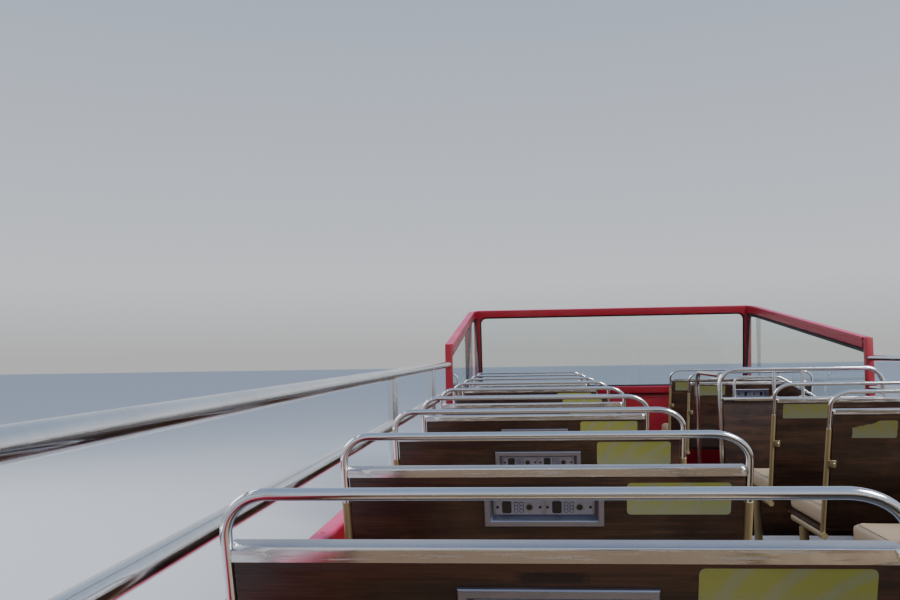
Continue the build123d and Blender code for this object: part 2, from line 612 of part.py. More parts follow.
# Flanged posts from the guard's cap up to its rail, and a loop of thinner tube before them
guard_posts = []
for from_aisle in GUARD_POST_ROW:
    foot = (guard_x + from_aisle, guard_y, guard_cap_top)
    post = upright_tube(foot, GUARD_POST, SMALL_TUBE_SIDES, top_z - GUARD_TUBE / 2 - guard_cap_top)
    guard_posts.append(post + upright_tube(foot, GUARD_FLANGE, RAIL_SIDES, GUARD_FLANGE_HEIGHT))
loop_top = FLOOR_TOP + GUARD_LOOP_TOP
loop_foot = guard_cap_top - GUARD_LOOP_TUBE
loop_x = [guard_x + from_aisle for from_aisle in GUARD_LOOP_ROW]
loop_plan = [(loop_x[0], loop_foot), (loop_x[0], loop_top), (loop_x[1], loop_top), (loop_x[2], loop_foot)]
loop = tube([(x, guard_y + GUARD_LOOP_SETBACK, z) for x, z in loop_plan], GUARD_LOOP_TUBE, GUARD_LOOP_BEND,
            SMALL_TUBE_SIDES)
guard_posts.append(split(loop, bisect_by=Plane.XY.offset(guard_cap_top), keep=Keep.TOP))
save("stair_guard_posts", guard_posts)

# Rear bench across the deck, its back against the rear wall
BENCH_X = INNER_X - BENCH_END_GAP
bench_rear = -INNER_Y + BENCH_REAR_GAP
bench_back = Pos(0, bench_rear, FLOOR_TOP)
save("bench_back_board", bench_back * raked_slab(BENCH_X, PLY_REAR, BACK_PLY, BACK_BOTTOM))
save("bench_back_pad", bench_back * raked_slab(BENCH_X, PAD_REAR, BACK_PAD, BACK_PAD_BOTTOM, BACK_PAD_CORNER))
save("bench_capping", bench_back * block((-BENCH_X, 0, CAPPING_BASE), (BENCH_X, CAPPING_DEPTH, BACK_TOP)))
save("bench_cushion", bench_back * cushion(BENCH_X))
save("bench_pan", bench_back * block((-BENCH_X, CUSHION_REAR, BASE_TOP),
                                     (BENCH_X, CUSHION_FRONT - CUSHION_LIP, PAN_TOP)))
bench_profile = [(CAP_OVERHANG - BENCH_REAR_GAP, 0), (CAP_OVERHANG - BENCH_REAR_GAP, CAPPING_BASE),
                 (back_y(CAPPING_BASE, PLY_REAR), CAPPING_BASE), (back_y(BASE_TOP, PLY_REAR), BASE_TOP),
                 (CUSHION_FRONT - BENCH_TOE, BASE_TOP), (CUSHION_FRONT - BENCH_TOE, 0)]
bench_step = 2 * BENCH_X / BENCH_SUPPORT_COUNT
supports = []
for place in range(BENCH_SUPPORT_COUNT):
    x = bench_step * (place + 0.5) - BENCH_X
    supports.append(bench_back * Pos(x) * side_shape(bench_profile, BENCH_SUPPORT))
save("bench_supports", supports)
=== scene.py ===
"""The looks of a bus's open upper deck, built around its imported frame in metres."""
import json
import logging
import math
import random
from collections.abc import Callable, Iterator
from contextlib import contextmanager
from dataclasses import dataclass, field
from enum import Enum

import bmesh
import bpy
from mathutils import Matrix, Vector, noise

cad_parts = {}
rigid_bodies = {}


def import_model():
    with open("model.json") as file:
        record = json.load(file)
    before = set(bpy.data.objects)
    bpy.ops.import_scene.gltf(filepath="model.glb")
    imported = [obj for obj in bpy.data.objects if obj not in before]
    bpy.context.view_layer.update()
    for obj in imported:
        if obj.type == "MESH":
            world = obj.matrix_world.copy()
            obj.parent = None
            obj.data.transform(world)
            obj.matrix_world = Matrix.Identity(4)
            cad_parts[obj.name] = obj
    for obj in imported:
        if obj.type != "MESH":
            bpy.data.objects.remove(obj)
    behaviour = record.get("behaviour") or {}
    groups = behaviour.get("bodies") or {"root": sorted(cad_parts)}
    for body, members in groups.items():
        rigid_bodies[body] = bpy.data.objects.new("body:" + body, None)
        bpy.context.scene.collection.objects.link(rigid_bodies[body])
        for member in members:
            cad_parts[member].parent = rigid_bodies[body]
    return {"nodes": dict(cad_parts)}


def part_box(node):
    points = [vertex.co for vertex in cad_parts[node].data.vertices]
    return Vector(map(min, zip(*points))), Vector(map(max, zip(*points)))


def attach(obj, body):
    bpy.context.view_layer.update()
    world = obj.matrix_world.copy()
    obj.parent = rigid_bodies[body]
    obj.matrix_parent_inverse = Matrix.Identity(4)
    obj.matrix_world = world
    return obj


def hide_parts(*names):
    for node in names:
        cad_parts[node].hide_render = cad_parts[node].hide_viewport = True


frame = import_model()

logging.basicConfig(level=logging.INFO, format="%(message)s")
LOG = logging.getLogger("deck")
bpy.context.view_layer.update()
BODY = "root"
Piece = bpy.types.Object
Socket = bpy.types.NodeSocket
Point = tuple[float, float, float]
# Flat points of a plan or a section
Outline = list[tuple[float, float]]
Colour = tuple[float, float, float, float]
Value = Socket | float | Colour
UP = Vector((0, 0, 1))
# Points nearer to each other than this are one
MERGE = 1e-5
NOTICE_UV = "notice"


class Side(Enum):
    """The two columns of seats, by the sign of their X."""

    NEARSIDE = -1
    OFFSIDE = 1


class Slot(Enum):
    """The record's material slots."""

    BODY_RED = "body_red"
    POLISHED = "polished_stainless"
    WORN = "worn_stainless"
    TAN_PAINT = "tan_paint"
    WOOD = "dark_wood"
    VINYL = "tan_vinyl"
    ALUMINIUM = "satin_aluminium"
    FLOOR = "grey_floor"
    UNDERFRAME = "underframe"
    GLASS = "glass"
    RUBBER = "black_rubber"


@dataclass(frozen=True)
class Coat:
    """A made material and the record's slot that it belongs to."""

    material: bpy.types.Material
    slot: Slot


@dataclass(frozen=True)
class Box:
    """Lowest and highest corner of a solid."""

    low: Vector
    high: Vector

    @property
    def centre(self) -> Vector:
        """The middle of the box."""
        return (self.low + self.high) / 2

    @property
    def size(self) -> Vector:
        """The box's three lengths."""
        return self.high - self.low


def solids_of(node: str) -> list[Box]:
    """The boxes of a CAD node's separate solids, from the rear to the front.

    Args:
        node: the CAD node's name.

    Returns:
        One box for each solid.
    """
    mesh = bmesh.new()
    mesh.from_mesh(frame["nodes"][node].data)
    bmesh.ops.remove_doubles(mesh, verts=mesh.verts, dist=MERGE)
    seen: set[int] = set()
    boxes = []
    for start in mesh.verts:
        if start.index in seen:
            continue
        seen.add(start.index)
        group, queue = [], [start]
        while queue:
            vert = queue.pop()
            group.append(vert.co.copy())
            for edge in vert.link_edges:
                other = edge.other_vert(vert)
                if other.index not in seen:
                    seen.add(other.index)
                    queue.append(other)
        low = Vector([min(p[i] for p in group) for i in range(3)])
        high = Vector([max(p[i] for p in group) for i in range(3)])
        boxes.append(Box(low, high))
    mesh.free()
    return sorted(boxes, key=lambda b: (b.low.y, b.low.x))


def mesh_object(name: str, verts: list, faces: list, edges: list | None = None) -> Piece:
    """A new object at the origin from lists of points and faces.

    Args:
        name: the piece's name.
        verts: its points.
        faces: its faces, as point numbers.
        edges: its loose edges, if it has any.

    Returns:
        The object, linked to the scene.
    """
    mesh = bpy.data.meshes.new(name)
    mesh.from_pydata([tuple(v) for v in verts], edges or [], faces)
    mesh.update()
    made = bpy.data.objects.new(name, mesh)
    bpy.context.collection.objects.link(made)
    return made


def apply_modifiers(piece: Piece) -> Piece:
    """Turns a piece's evaluated shape into its plain mesh.

    Args:
        piece: the object with its modifiers.

    Returns:
        The same object without modifiers.
    """
    graph = bpy.context.evaluated_depsgraph_get()
    graph.update()
    made = bpy.data.meshes.new_from_object(piece.evaluated_get(graph))
    piece.modifiers.clear()
    old = piece.data
    piece.data = made
    if isinstance(old, bpy.types.Mesh):
        bpy.data.meshes.remove(old)
    return piece


@contextmanager
def edited(piece: Piece) -> Iterator[bmesh.types.BMesh]:
    """A piece's mesh, open to edit and written back at the end.

    Args:
        piece: the object.

    Returns:
        The open mesh.
    """
    mesh = bmesh.new()
    mesh.from_mesh(piece.data)
    yield mesh
    mesh.to_mesh(piece.data)
    mesh.free()


def smooth(piece: Piece, angle: float) -> None:
    """Shades a piece smooth, with its sharp edges kept.

    Args:
        piece: the object.
        angle: degrees past which an edge is sharp.
    """
    piece.data.shade_smooth()
    limit = math.radians(angle)
    with edited(piece) as mesh:
        for edge in mesh.edges:
            edge.smooth = len(edge.link_faces) == 2 and edge.calc_face_angle(0.0) < limit


def outward(piece: Piece) -> None:
    """Turns a closed mesh's faces outwards."""
    with edited(piece) as mesh:
        bmesh.ops.recalc_face_normals(mesh, faces=mesh.faces)


def joined(name: str, pieces: list[Piece]) -> Piece:
    """One object from several, with their places kept.

    Args:
        name: the joined piece's name.
        pieces: the objects to join, which are removed.

    Returns:
        The joined object.
    """
    total = bmesh.new()
    for piece in pieces:
        total.from_mesh(piece.data)
    mesh = bpy.data.meshes.new(name)
    total.to_mesh(mesh)
    total.free()
    for piece in pieces:
        bpy.data.objects.remove(piece)
    made = bpy.data.objects.new(name, mesh)
    bpy.context.collection.objects.link(made)
    return made


def finish_piece(piece: Piece, coat: Coat, *replaces: str, sharp: float | None = None) -> Piece:
    """Gives a piece its material and its place in the frame.

    Args:
        piece: the object, with its place in its mesh.
        coat: its material and the record's slot.
        replaces: the CAD nodes that it stands for.
        sharp: degrees past which an edge stays sharp in smooth shading, or else the shading stays.

    Returns:
        The same object.
    """
    material, slot = coat.material, coat.slot
    if sharp is not None:
        smooth(piece, sharp)
    piece.data.materials.clear()
    piece.data.materials.append(material)
    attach(piece, BODY)
    if replaces:
        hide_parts(*replaces)
    LOG.info("%s: %d faces", piece.name, len(piece.data.polygons))
    return piece


def paint_node(node: str, coat: Coat) -> None:
    """Gives a CAD node that stays as it is its material."""
    piece = frame["nodes"][node]
    piece.data.materials.clear()
    piece.data.materials.append(coat.material)


def arc(x: float, y: float, radius: float, first: float, steps: int) -> Outline:
    """A quarter of a circle, anticlockwise.

    Args:
        x: the middle's first coordinate.
        y: its second one.
        radius: the circle's radius.
        first: the angle in degrees that it starts at.
        steps: its facets.

    Returns:
        Its points, both ends included.
    """
    angles = [math.radians(first + 90 * step / steps) for step in range(steps + 1)]
    return [(x + radius * math.cos(angle), y + radius * math.sin(angle)) for angle in angles]


def rounded_plan(half_x: float, half_y: float, radius: float, steps: int) -> Outline:
    """A rectangle with round corners, anticlockwise, centred on the origin.

    Args:
        half_x: half of its width.
        half_y: half of its length.
        radius: the radius of its corners.
        steps: facets in each corner.

    Returns:
        Its points.
    """
    points = []
    for quarter, (sx, sy) in enumerate([(1, 1), (-1, 1), (-1, -1), (1, -1)]):
        points += arc(sx * (half_x - radius), sy * (half_y - radius), radius, 90 * quarter, steps)
    return points


def looped(name: str, loops: list[list[Point]], closed: bool = True) -> Piece:
    """A skin over loops of points, each loop joined to the next one.

    Args:
        name: the piece's name.
        loops: loops with the same number of points.
        closed: whether the last loop joins the first one, or else both ends get a face.

    Returns:
        The piece, its faces outwards.
    """
    count = len(loops[0])
    verts = [point for loop in loops for point in loop]
    faces = []
    for ring in range(len(loops) - (0 if closed else 1)):
        after = (ring + 1) % len(loops)
        for i in range(count):
            j = (i + 1) % count
            faces.append((ring * count + i, ring * count + j, after * count + j, after * count + i))
    if not closed:
        last = (len(loops) - 1) * count
        faces += [tuple(range(count)), tuple(range(last, last + count))]
    made = mesh_object(name, verts, faces)
    outward(made)
    return made


def stepped(corners: Outline, count: int) -> Outline:
    """Points along straight runs.

    Args:
        corners: the runs' ends.
        count: the parts that each run is split into.

    Returns:
        The points, the first and the last corner included.
    """
    points = [corners[0]]
    for start, end in zip(corners, corners[1:]):
        points += [tuple(a + (b - a) * part / count for a, b in zip(start, end))
                   for part in range(1, count + 1)]
    return points


def rolled_section(width: float, height: float, roll: float, corners: tuple[bool, bool, bool, bool],
                   steps: int = 4) -> Outline:
    """A rectangular section whose chosen corners are rolled.

    Args:
        width: its width, from 0.
        height: its height, from 0.
        roll: the radius of the rolled corners.
        corners: whether each corner is rolled: low near, low far, high far, high near.
        steps: facets in a corner.

    Returns:
        Its points in order.
    """
    points = []
    centres = [(roll, roll, 180), (width - roll, roll, 270), (width - roll, height - roll, 0),
               (roll, height - roll, 90)]
    sharp = [(0.0, 0.0), (width, 0.0), (width, height), (0.0, height)]
    for (x, z, first), corner, rounded in zip(centres, sharp, corners):
        points += arc(x, z, roll, first, steps) if rounded else [corner]
    return points


def bent(points: list[Vector], radius: float, steps: int) -> list[Vector]:
    """A route with an arc at each of its inner corners.

    Args:
        points: the route's corners.
        radius: the radius of the arcs.
        steps: facets in an arc.

    Returns:
        The route's points.
    """
    route = [points[0]]
    for before, corner, after in zip(points, points[1:], points[2:]):
        inward, onward = (before - corner).normalized(), (after - corner).normalized()
        half = inward.angle(onward) / 2
        reach = radius / math.tan(half)
        middle = corner + (inward + onward).normalized() * (radius / math.sin(half))
        start, end = corner + inward * reach - middle, corner + onward * reach - middle
        route += [middle + start.slerp(end, step / steps) * radius for step in range(steps + 1)]
    return route + [points[-1]]


class Tree:
    """A node tree, with short calls to add its nodes and feed their inputs."""

    def __init__(self, tree: bpy.types.NodeTree) -> None:
        """Keeps the tree that nodes are added to."""
        self.tree = tree

    def into(self, socket: Socket, value: Value) -> None:
        """Links an output to an input, or else sets the input."""
        if isinstance(value, Socket):
            self.tree.links.new(value, socket)
        else:
            socket.default_value = value

    def feed(self, node: bpy.types.Node, **values: Value) -> bpy.types.Node:
        """Sets or links a node's inputs by name, with underscores for spaces.

        Args:
            node: the node.
            values: a number, a colour, or an output socket for each input.

        Returns:
            The same node.
        """
        for name, value in values.items():
            self.into(node.inputs[name.replace("_", " ")], value)
        return node

    def add(self, kind: str, **settings: object) -> bpy.types.Node:
        """Adds a node.

        Args:
            kind: the node's type, such as ShaderNodeMath.
            settings: its properties by name.

        Returns:
            The node.
        """
        node = self.tree.nodes.new(kind)
        for name, value in settings.items():
            setattr(node, name, value)
        return node

    def put(self, kind: str, **values: Value) -> bpy.types.Node:
        """Adds a node of a kind and feeds its inputs."""
        return self.feed(self.add(kind), **values)


class Shader(Tree):
    """A material's node tree, with short calls for its patterns and sums."""

    def object_point(self) -> Socket:
        """The point on the object that a pattern is read at."""
        return self.add("ShaderNodeTexCoord").outputs["Object"]

    def stretched(self, scale: Point, turn: float = 0.0) -> Socket:
        """The object point turned about Z, each axis scaled, so that a pattern stretches."""
        mapping = self.put("ShaderNodeMapping", Vector=self.object_point(), Rotation=(0.0, 0.0, turn),
                           Scale=scale)
        return mapping.outputs["Vector"]

    def split(self, vector: Socket) -> bpy.types.NodeOutputs:
        """A vector's X, Y and Z."""
        return self.put("ShaderNodeSeparateXYZ", Vector=vector).outputs

    def noise(self, scale: Value, detail: float = 4.0, rough: float = 0.5,
              at: Socket | None = None) -> Socket:
        """A cloud pattern between 0 and 1."""
        node = self.put("ShaderNodeTexNoise", Vector=at or self.object_point(), Scale=scale, Detail=detail,
                        Roughness=rough)
        return node.outputs["Fac"]

    def ramp(self, value: Socket, stops: list[tuple[float, float | Colour]]) -> Socket:
        """A number remapped through stops of place and grey level or colour."""
        node = self.put("ShaderNodeValToRGB", Fac=value)
        points = node.color_ramp.elements
        while len(points) < len(stops):
            points.new(0.5)
        for point, (place, level) in zip(points, stops):
            point.position = place
            point.color = level if isinstance(level, tuple) else (level, level, level, 1)
        return node.outputs["Color"]

    def mix(self, amount: Value, first: Value, second: Value) -> Socket:
        """A colour between two colours."""
        node = self.add("ShaderNodeMix", data_type="RGBA")
        for place, value in ((0, amount), (6, first), (7, second)):
            self.into(node.inputs[place], value)
        return node.outputs[2]

    def math(self, operation: str, first: Value, second: Value = 0.0) -> Socket:
        """A number worked out from two numbers."""
        node = self.add("ShaderNodeMath", operation=operation)
        for place, value in enumerate((first, second)):
            self.into(node.inputs[place], value)
        return node.outputs[0]

    def times(self, first: Value, second: Value) -> Socket:
        """The product of two numbers."""
        return self.math("MULTIPLY", first, second)

    def plus(self, first: Value, second: Value) -> Socket:
        """The sum of two numbers."""
        return self.math("ADD", first, second)

    def minus(self, first: Value, second: Value) -> Socket:
        """The first number less the second one."""
        return self.math("SUBTRACT", first, second)

    def bump(self, height: Socket, strength: float, distance: float) -> Socket:
        """A normal that leans with a height pattern."""
        node = self.put("ShaderNodeBump", Height=height, Strength=strength, Distance=distance)
        return node.outputs["Normal"]

    def effect(self, group: bpy.types.NodeTree, **values: float) -> bpy.types.Node:
        """Places a shared effect with its own values."""
        return self.feed(self.add("ShaderNodeGroup", node_tree=group), **values)

    def mask(self, group: bpy.types.NodeTree, **values: float) -> Socket:
        """The mask of a shared effect placed with its own values."""
        return self.effect(group, **values).outputs["Mask"]


class Effects:
    """The patterns that several finishes share, each a node group built once."""

    def __init__(self) -> None:
        """Builds every shared group."""
        self.scratches = self._scratches()
        self.grime = self._grime()
        self.upward_bleach_and_light = self._build_upward_bleach_and_light()

    @staticmethod
    def _group(name: str, inputs: dict[str, float],
               outputs: tuple[str, ...]) -> tuple[bpy.types.NodeTree, Shader, bpy.types.Node, bpy.types.Node]:
        """A new group with number inputs and outputs: its tree and shader, and the nodes at its ends."""
        tree = bpy.data.node_groups.new(name, "ShaderNodeTree")
        for label, value in inputs.items():
            socket = tree.interface.new_socket(label, in_out="INPUT", socket_type="NodeSocketFloat")
            socket.default_value = value
        for label in outputs:
            tree.interface.new_socket(label, in_out="OUTPUT", socket_type="NodeSocketFloat")
        shader = Shader(tree)
        return tree, shader, shader.add("NodeGroupInput"), shader.add("NodeGroupOutput")

    def _scratches(self) -> bpy.types.NodeTree:
        """Fine rubbed lines in three directions."""
        tree, shader, source, result = self._group(
            "rubbed_scratches", {"Scale": 60.0, "Amount": 0.5}, ("Mask", "Height"))
        lines = None
        # Each direction of rubbing: turn about Z, and how much of the metal its lines take
        for turn, start in ((0.05, 0.58), (-0.22, 0.63), (0.9, 0.66)):
            wave = shader.noise(source.outputs["Scale"], at=shader.stretched((0.035, 1.0, 1.0), turn))
            line = shader.ramp(wave, [(start, 0.0), (start + 0.05, 1.0)])
            lines = line if lines is None else shader.math("MAXIMUM", lines, line)
        mask = shader.times(lines, source.outputs["Amount"])
        shader.feed(result, Mask=mask, Height=shader.minus(1.0, mask))
        return tree

    def _grime(self) -> bpy.types.NodeTree:
        """Soft patches of dirt, in large clouds broken by small ones."""
        tree, shader, source, result = self._group("settled_grime", {"Scale": 3.0, "Spread": 0.5}, ("Mask",))
        large = shader.noise(source.outputs["Scale"], 6.0, 0.62)
        small = shader.noise(42.0, 5.0, 0.7)
        both = shader.plus(shader.times(large, 0.72), shader.times(small, 0.28))
        edge = shader.minus(1.0, source.outputs["Spread"])
        clamp = shader.put("ShaderNodeClamp", Value=shader.times(shader.minus(both, edge), 5.0))
        shader.feed(result, Mask=clamp.outputs[0])
        return tree

    def _build_upward_bleach_and_light(self) -> bpy.types.NodeTree:
        """How far a face looks up, broken by soft clouds: the mask for sun bleaching and for painted light
        and a painted sky reflection on up-facing faces.
        """
        tree, shader, source, result = self._group("sun_fading", {"Strength": 1.0}, ("Mask",))
        facing = shader.split(shader.add("ShaderNodeNewGeometry").outputs["Normal"])
        # Up-facing faces: partly sun bleaching, partly painted light and painted sky reflection
        up = shader.ramp(facing["Z"], [(0.45, 0.0), (0.95, 1.0)])
        cloud = shader.ramp(shader.noise(1.7, 5.0, 0.6), [(0.3, 0.65), (0.7, 1.0)])
        mask = shader.times(shader.times(up, cloud), source.outputs["Strength"])
        shader.feed(result, Mask=mask)
        return tree


@dataclass(frozen=True)
class Finish:
    """A finish's plain values: its name, colours and gloss."""

    name: str
    slot: Slot
    colour: Colour
    second: Colour
    roughness: float = 0.5
    metallic: float = 0.0
    coat_weight: float = 0.0

    def patterns(self, shader: Shader, main: bpy.types.Node, effects: Effects) -> None:
        """Adds the finish's patterns to its shader."""
        raise NotImplementedError

    def coat(self, effects: Effects) -> Coat:
        """Makes the material from the finish's plain values and its patterns.

        Args:
            effects: the shared effects.

        Returns:
            The material with its slot.
        """
        material = bpy.data.materials.new(self.name)
        material.use_nodes = True
        shader = Shader(material.node_tree)
        main = material.node_tree.nodes["Principled BSDF"]
        shader.feed(main, Base_Color=self.colour, Roughness=self.roughness, Metallic=self.metallic,
                    Coat_Weight=self.coat_weight)
        self.patterns(shader, main, effects)
        return Coat(material, self.slot)


@dataclass(frozen=True)
class MetalFinish(Finish):
    """Bare metal with scratches and smears, rubbed rougher where it looks up and tinted there towards a dark
    blue as a painted sky reflection.
    """

    scratch: float = 0.3
    scratch_scale: float = 320.0
    smear: float = 0.15
    top_wear: float = 0.0
    # How far up-facing faces take the dark blue below: a painted sky reflection
    top_sky_reflection: float = 0.0
    sky_reflection_colour: Colour = (0.21, 0.25, 0.35, 1)

    def patterns(self, shader: Shader, main: bpy.types.Node, effects: Effects) -> None:
        """Adds the finish's patterns to its shader."""
        scratches = shader.effect(effects.scratches, Scale=self.scratch_scale, Amount=self.scratch)
        grime = shader.mask(effects.grime, Scale=4.0, Spread=0.52)
        top = shader.mask(effects.upward_bleach_and_light, Strength=1.0)
        smear = shader.times(grime, self.smear)
        rough = shader.plus(self.roughness, shader.times(scratches.outputs["Mask"], 0.25))
        rough = shader.plus(shader.plus(rough, smear), shader.times(top, self.top_wear))
        colour = shader.mix(shader.times(grime, 0.5), self.colour, self.second)
        # Painted sky reflection: up-facing faces tinted towards the dark blue
        colour = shader.mix(shader.times(top, self.top_sky_reflection), colour, self.sky_reflection_colour)
        normal = shader.bump(scratches.outputs["Height"], 0.2 * self.scratch, 0.0002)
        shader.feed(main, Base_Color=colour, Roughness=rough, Normal=normal)


@dataclass(frozen=True)
class PaintFinish(Finish):
    """Coated paint that turns to its second colour where it looks up, partly sun bleaching and partly a
    painted light on the tops, with soft dirt.
    """

    # How far up-facing faces take the second colour: partly sun bleaching, partly painted light
    bleach_and_top_light: float = 0.6
    orange_peel: float = 0.05

    def patterns(self, shader: Shader, main: bpy.types.Node, effects: Effects) -> None:
        """Adds the finish's patterns to its shader."""
        # Up-facing faces turn to the second colour: partly sun bleaching, partly painted light on the tops
        bleach_and_top_light_mask = shader.mask(effects.upward_bleach_and_light, Strength=self.bleach_and_top_light)
        grime = shader.mask(effects.grime, Scale=2.2, Spread=0.50)
        colour = shader.mix(bleach_and_top_light_mask, self.colour, self.second)
        dusty = shader.times(grime, 0.06)
        colour = shader.mix(dusty, colour, (0.30, 0.25, 0.21, 1))
        rough = shader.plus(self.roughness, shader.times(grime, 0.22))
        normal = shader.bump(shader.noise(240.0, 2.0), self.orange_peel, 0.0006)
        shader.feed(main, Base_Color=colour, Roughness=rough, Normal=normal)


@dataclass(frozen=True)
class WoodFinish(Finish):
    """Dark lacquered veneer with its grain along X, scuffed pale in places."""

    grain_scale: float = 26.0
    # Where a sticker came off a back: the middle of its marks and half their size
    residue: tuple[Point, Point] = ((-0.760, -2.330, 0.902), (0.046, 0.060, 0.008))

    def residue_mask(self, shader: Shader) -> Socket:
        """The dark marks of a sticker that came off, blotched and ragged at their edge."""
        point, furthest = shader.split(shader.object_point()), 0.0
        for axis, middle, half in zip("XYZ", *self.residue):
            away = shader.math("ABSOLUTE", shader.minus(point[axis], middle))
            furthest = shader.math("MAXIMUM", furthest, shader.math("DIVIDE", away, half))
        ragged = shader.plus(furthest, shader.times(shader.noise(220.0, 4.0, 0.6), 0.6))
        return shader.ramp(shader.times(ragged, 0.5), [(0.50, 0.8), (0.68, 0.0)])

    def patterns(self, shader: Shader, main: bpy.types.Node, effects: Effects) -> None:
        """Adds the finish's patterns to its shader."""
        fibres = shader.noise(self.grain_scale * 9, 6.0, 0.75, shader.stretched((0.035, 1.0, 1.0)))
        figure = shader.noise(self.grain_scale, 3.0, 0.55, shader.stretched((0.10, 1.0, 1.0)))
        grain = shader.plus(shader.times(fibres, 0.5), shader.times(figure, 0.5))
        band = shader.ramp(grain, [(0.40, 0.0), (0.50, 0.35), (0.60, 1.0)])
        colour = shader.mix(band, self.colour, self.second)
        grime = shader.mask(effects.grime, Scale=6.0, Spread=0.49)
        scuffs = shader.mask(effects.scratches, Scale=120.0, Amount=0.7)
        rubbed = shader.times(scuffs, grime)
        faded = shader.times(shader.ramp(shader.noise(7.0, 5.0, 0.65), [(0.5, 0.0), (0.75, 1.0)]), 0.45)
        colour = shader.mix(faded, colour, (0.115, 0.055, 0.028, 1))
        colour = shader.mix(shader.times(rubbed, 0.6), colour, (0.22, 0.13, 0.08, 1))
        colour = shader.mix(self.residue_mask(shader), colour, (0.006, 0.005, 0.006, 1))
        rough = shader.plus(self.roughness, shader.times(grime, 0.25))
        shader.feed(main, Base_Color=colour, Roughness=rough, Normal=shader.bump(grain, 0.12, 0.0005))


@dataclass(frozen=True)
class VinylFinish(Finish):
    """Soft vinyl with a pebbled grain, darker where it is handled."""

    pebble_scale: float = 420.0

    def patterns(self, shader: Shader, main: bpy.types.Node, effects: Effects) -> None:
        """Adds the finish's patterns to its shader."""
        pebbles = shader.put("ShaderNodeTexVoronoi", Vector=shader.object_point(), Scale=self.pebble_scale)
        creases = shader.noise(55.0, 8.0, 0.72)
        height = shader.plus(shader.times(pebbles.outputs["Distance"], 0.5), shader.times(creases, 0.8))
        grime = shader.mask(effects.grime, Scale=3.4, Spread=0.50)
        colour = shader.mix(shader.times(grime, 0.7), self.colour, self.second)
        rough = shader.minus(self.roughness, shader.times(grime, 0.08))
        shader.feed(main, Base_Color=colour, Roughness=rough, Normal=shader.bump(height, 0.35, 0.0008))


@dataclass(frozen=True)
class PlainFinish(Finish):
    """Rubber, plastic or sheet flooring with a fine texture."""

    texture_scale: float = 300.0
    texture: float = 0.2

    def patterns(self, shader: Shader, main: bpy.types.Node, effects: Effects) -> None:
        """Adds the finish's patterns to its shader."""
        grime = shader.mask(effects.grime, Scale=2.6, Spread=0.52)
        colour = shader.mix(grime, self.colour, self.second)
        rough = shader.plus(self.roughness, shader.times(grime, 0.12))
        normal = shader.bump(shader.noise(self.texture_scale, 3.0), self.texture, 0.0005)
        shader.feed(main, Base_Color=colour, Roughness=rough, Normal=normal)


@dataclass(frozen=True)
class GlassFinish(Finish):
    """Clear glass, a little dusty."""

    def patterns(self, shader: Shader, main: bpy.types.Node, effects: Effects) -> None:
        """Adds the finish's patterns to its shader."""
        grime = shader.mask(effects.grime, Scale=1.8, Spread=0.45)
        rough = shader.plus(self.roughness, shader.times(grime, 0.08))
        shader.feed(main, Transmission_Weight=1.0, IOR=1.45, Roughness=rough)


@dataclass(frozen=True)
class NoticeFinish(Finish):
    """A blank notice: green and grey washes in soft slanting bands, with no lettering."""

    foot: Colour = (0.36, 0.39, 0.23, 1)

    def patterns(self, shader: Shader, main: bpy.types.Node, effects: Effects) -> None:
        """Adds the finish's patterns to its shader."""
        place = shader.add("ShaderNodeUVMap", uv_map=NOTICE_UV).outputs["UV"]
        mapping = shader.put("ShaderNodeMapping", Vector=place, Location=(-1.38, 0.36, 0.0),
                             Scale=(1.0, 0.45, 1.0))
        swoosh = shader.add("ShaderNodeTexWave", wave_type="RINGS", rings_direction="Z")
        shader.feed(swoosh, Vector=mapping.outputs["Vector"], Scale=1.26, Distortion=0.7, Detail=0.0)
        band = shader.ramp(swoosh.outputs["Fac"], [(0.55, 0.0), (0.85, 0.55), (1.0, 0.7)])
        colour = shader.mix(band, self.colour, self.second)
        foot = shader.ramp(shader.split(place)["Y"], [(0.15, 0.8), (0.60, 0.0)])
        colour = shader.mix(foot, colour, self.foot)
        grime = shader.mask(effects.grime, Scale=9.0, Spread=0.47)
        colour = shader.mix(shader.times(grime, 0.35), colour, (0.20, 0.19, 0.14, 1))
        shader.feed(main, Base_Color=colour, Normal=shader.bump(shader.noise(90.0), 0.1, 0.0004))


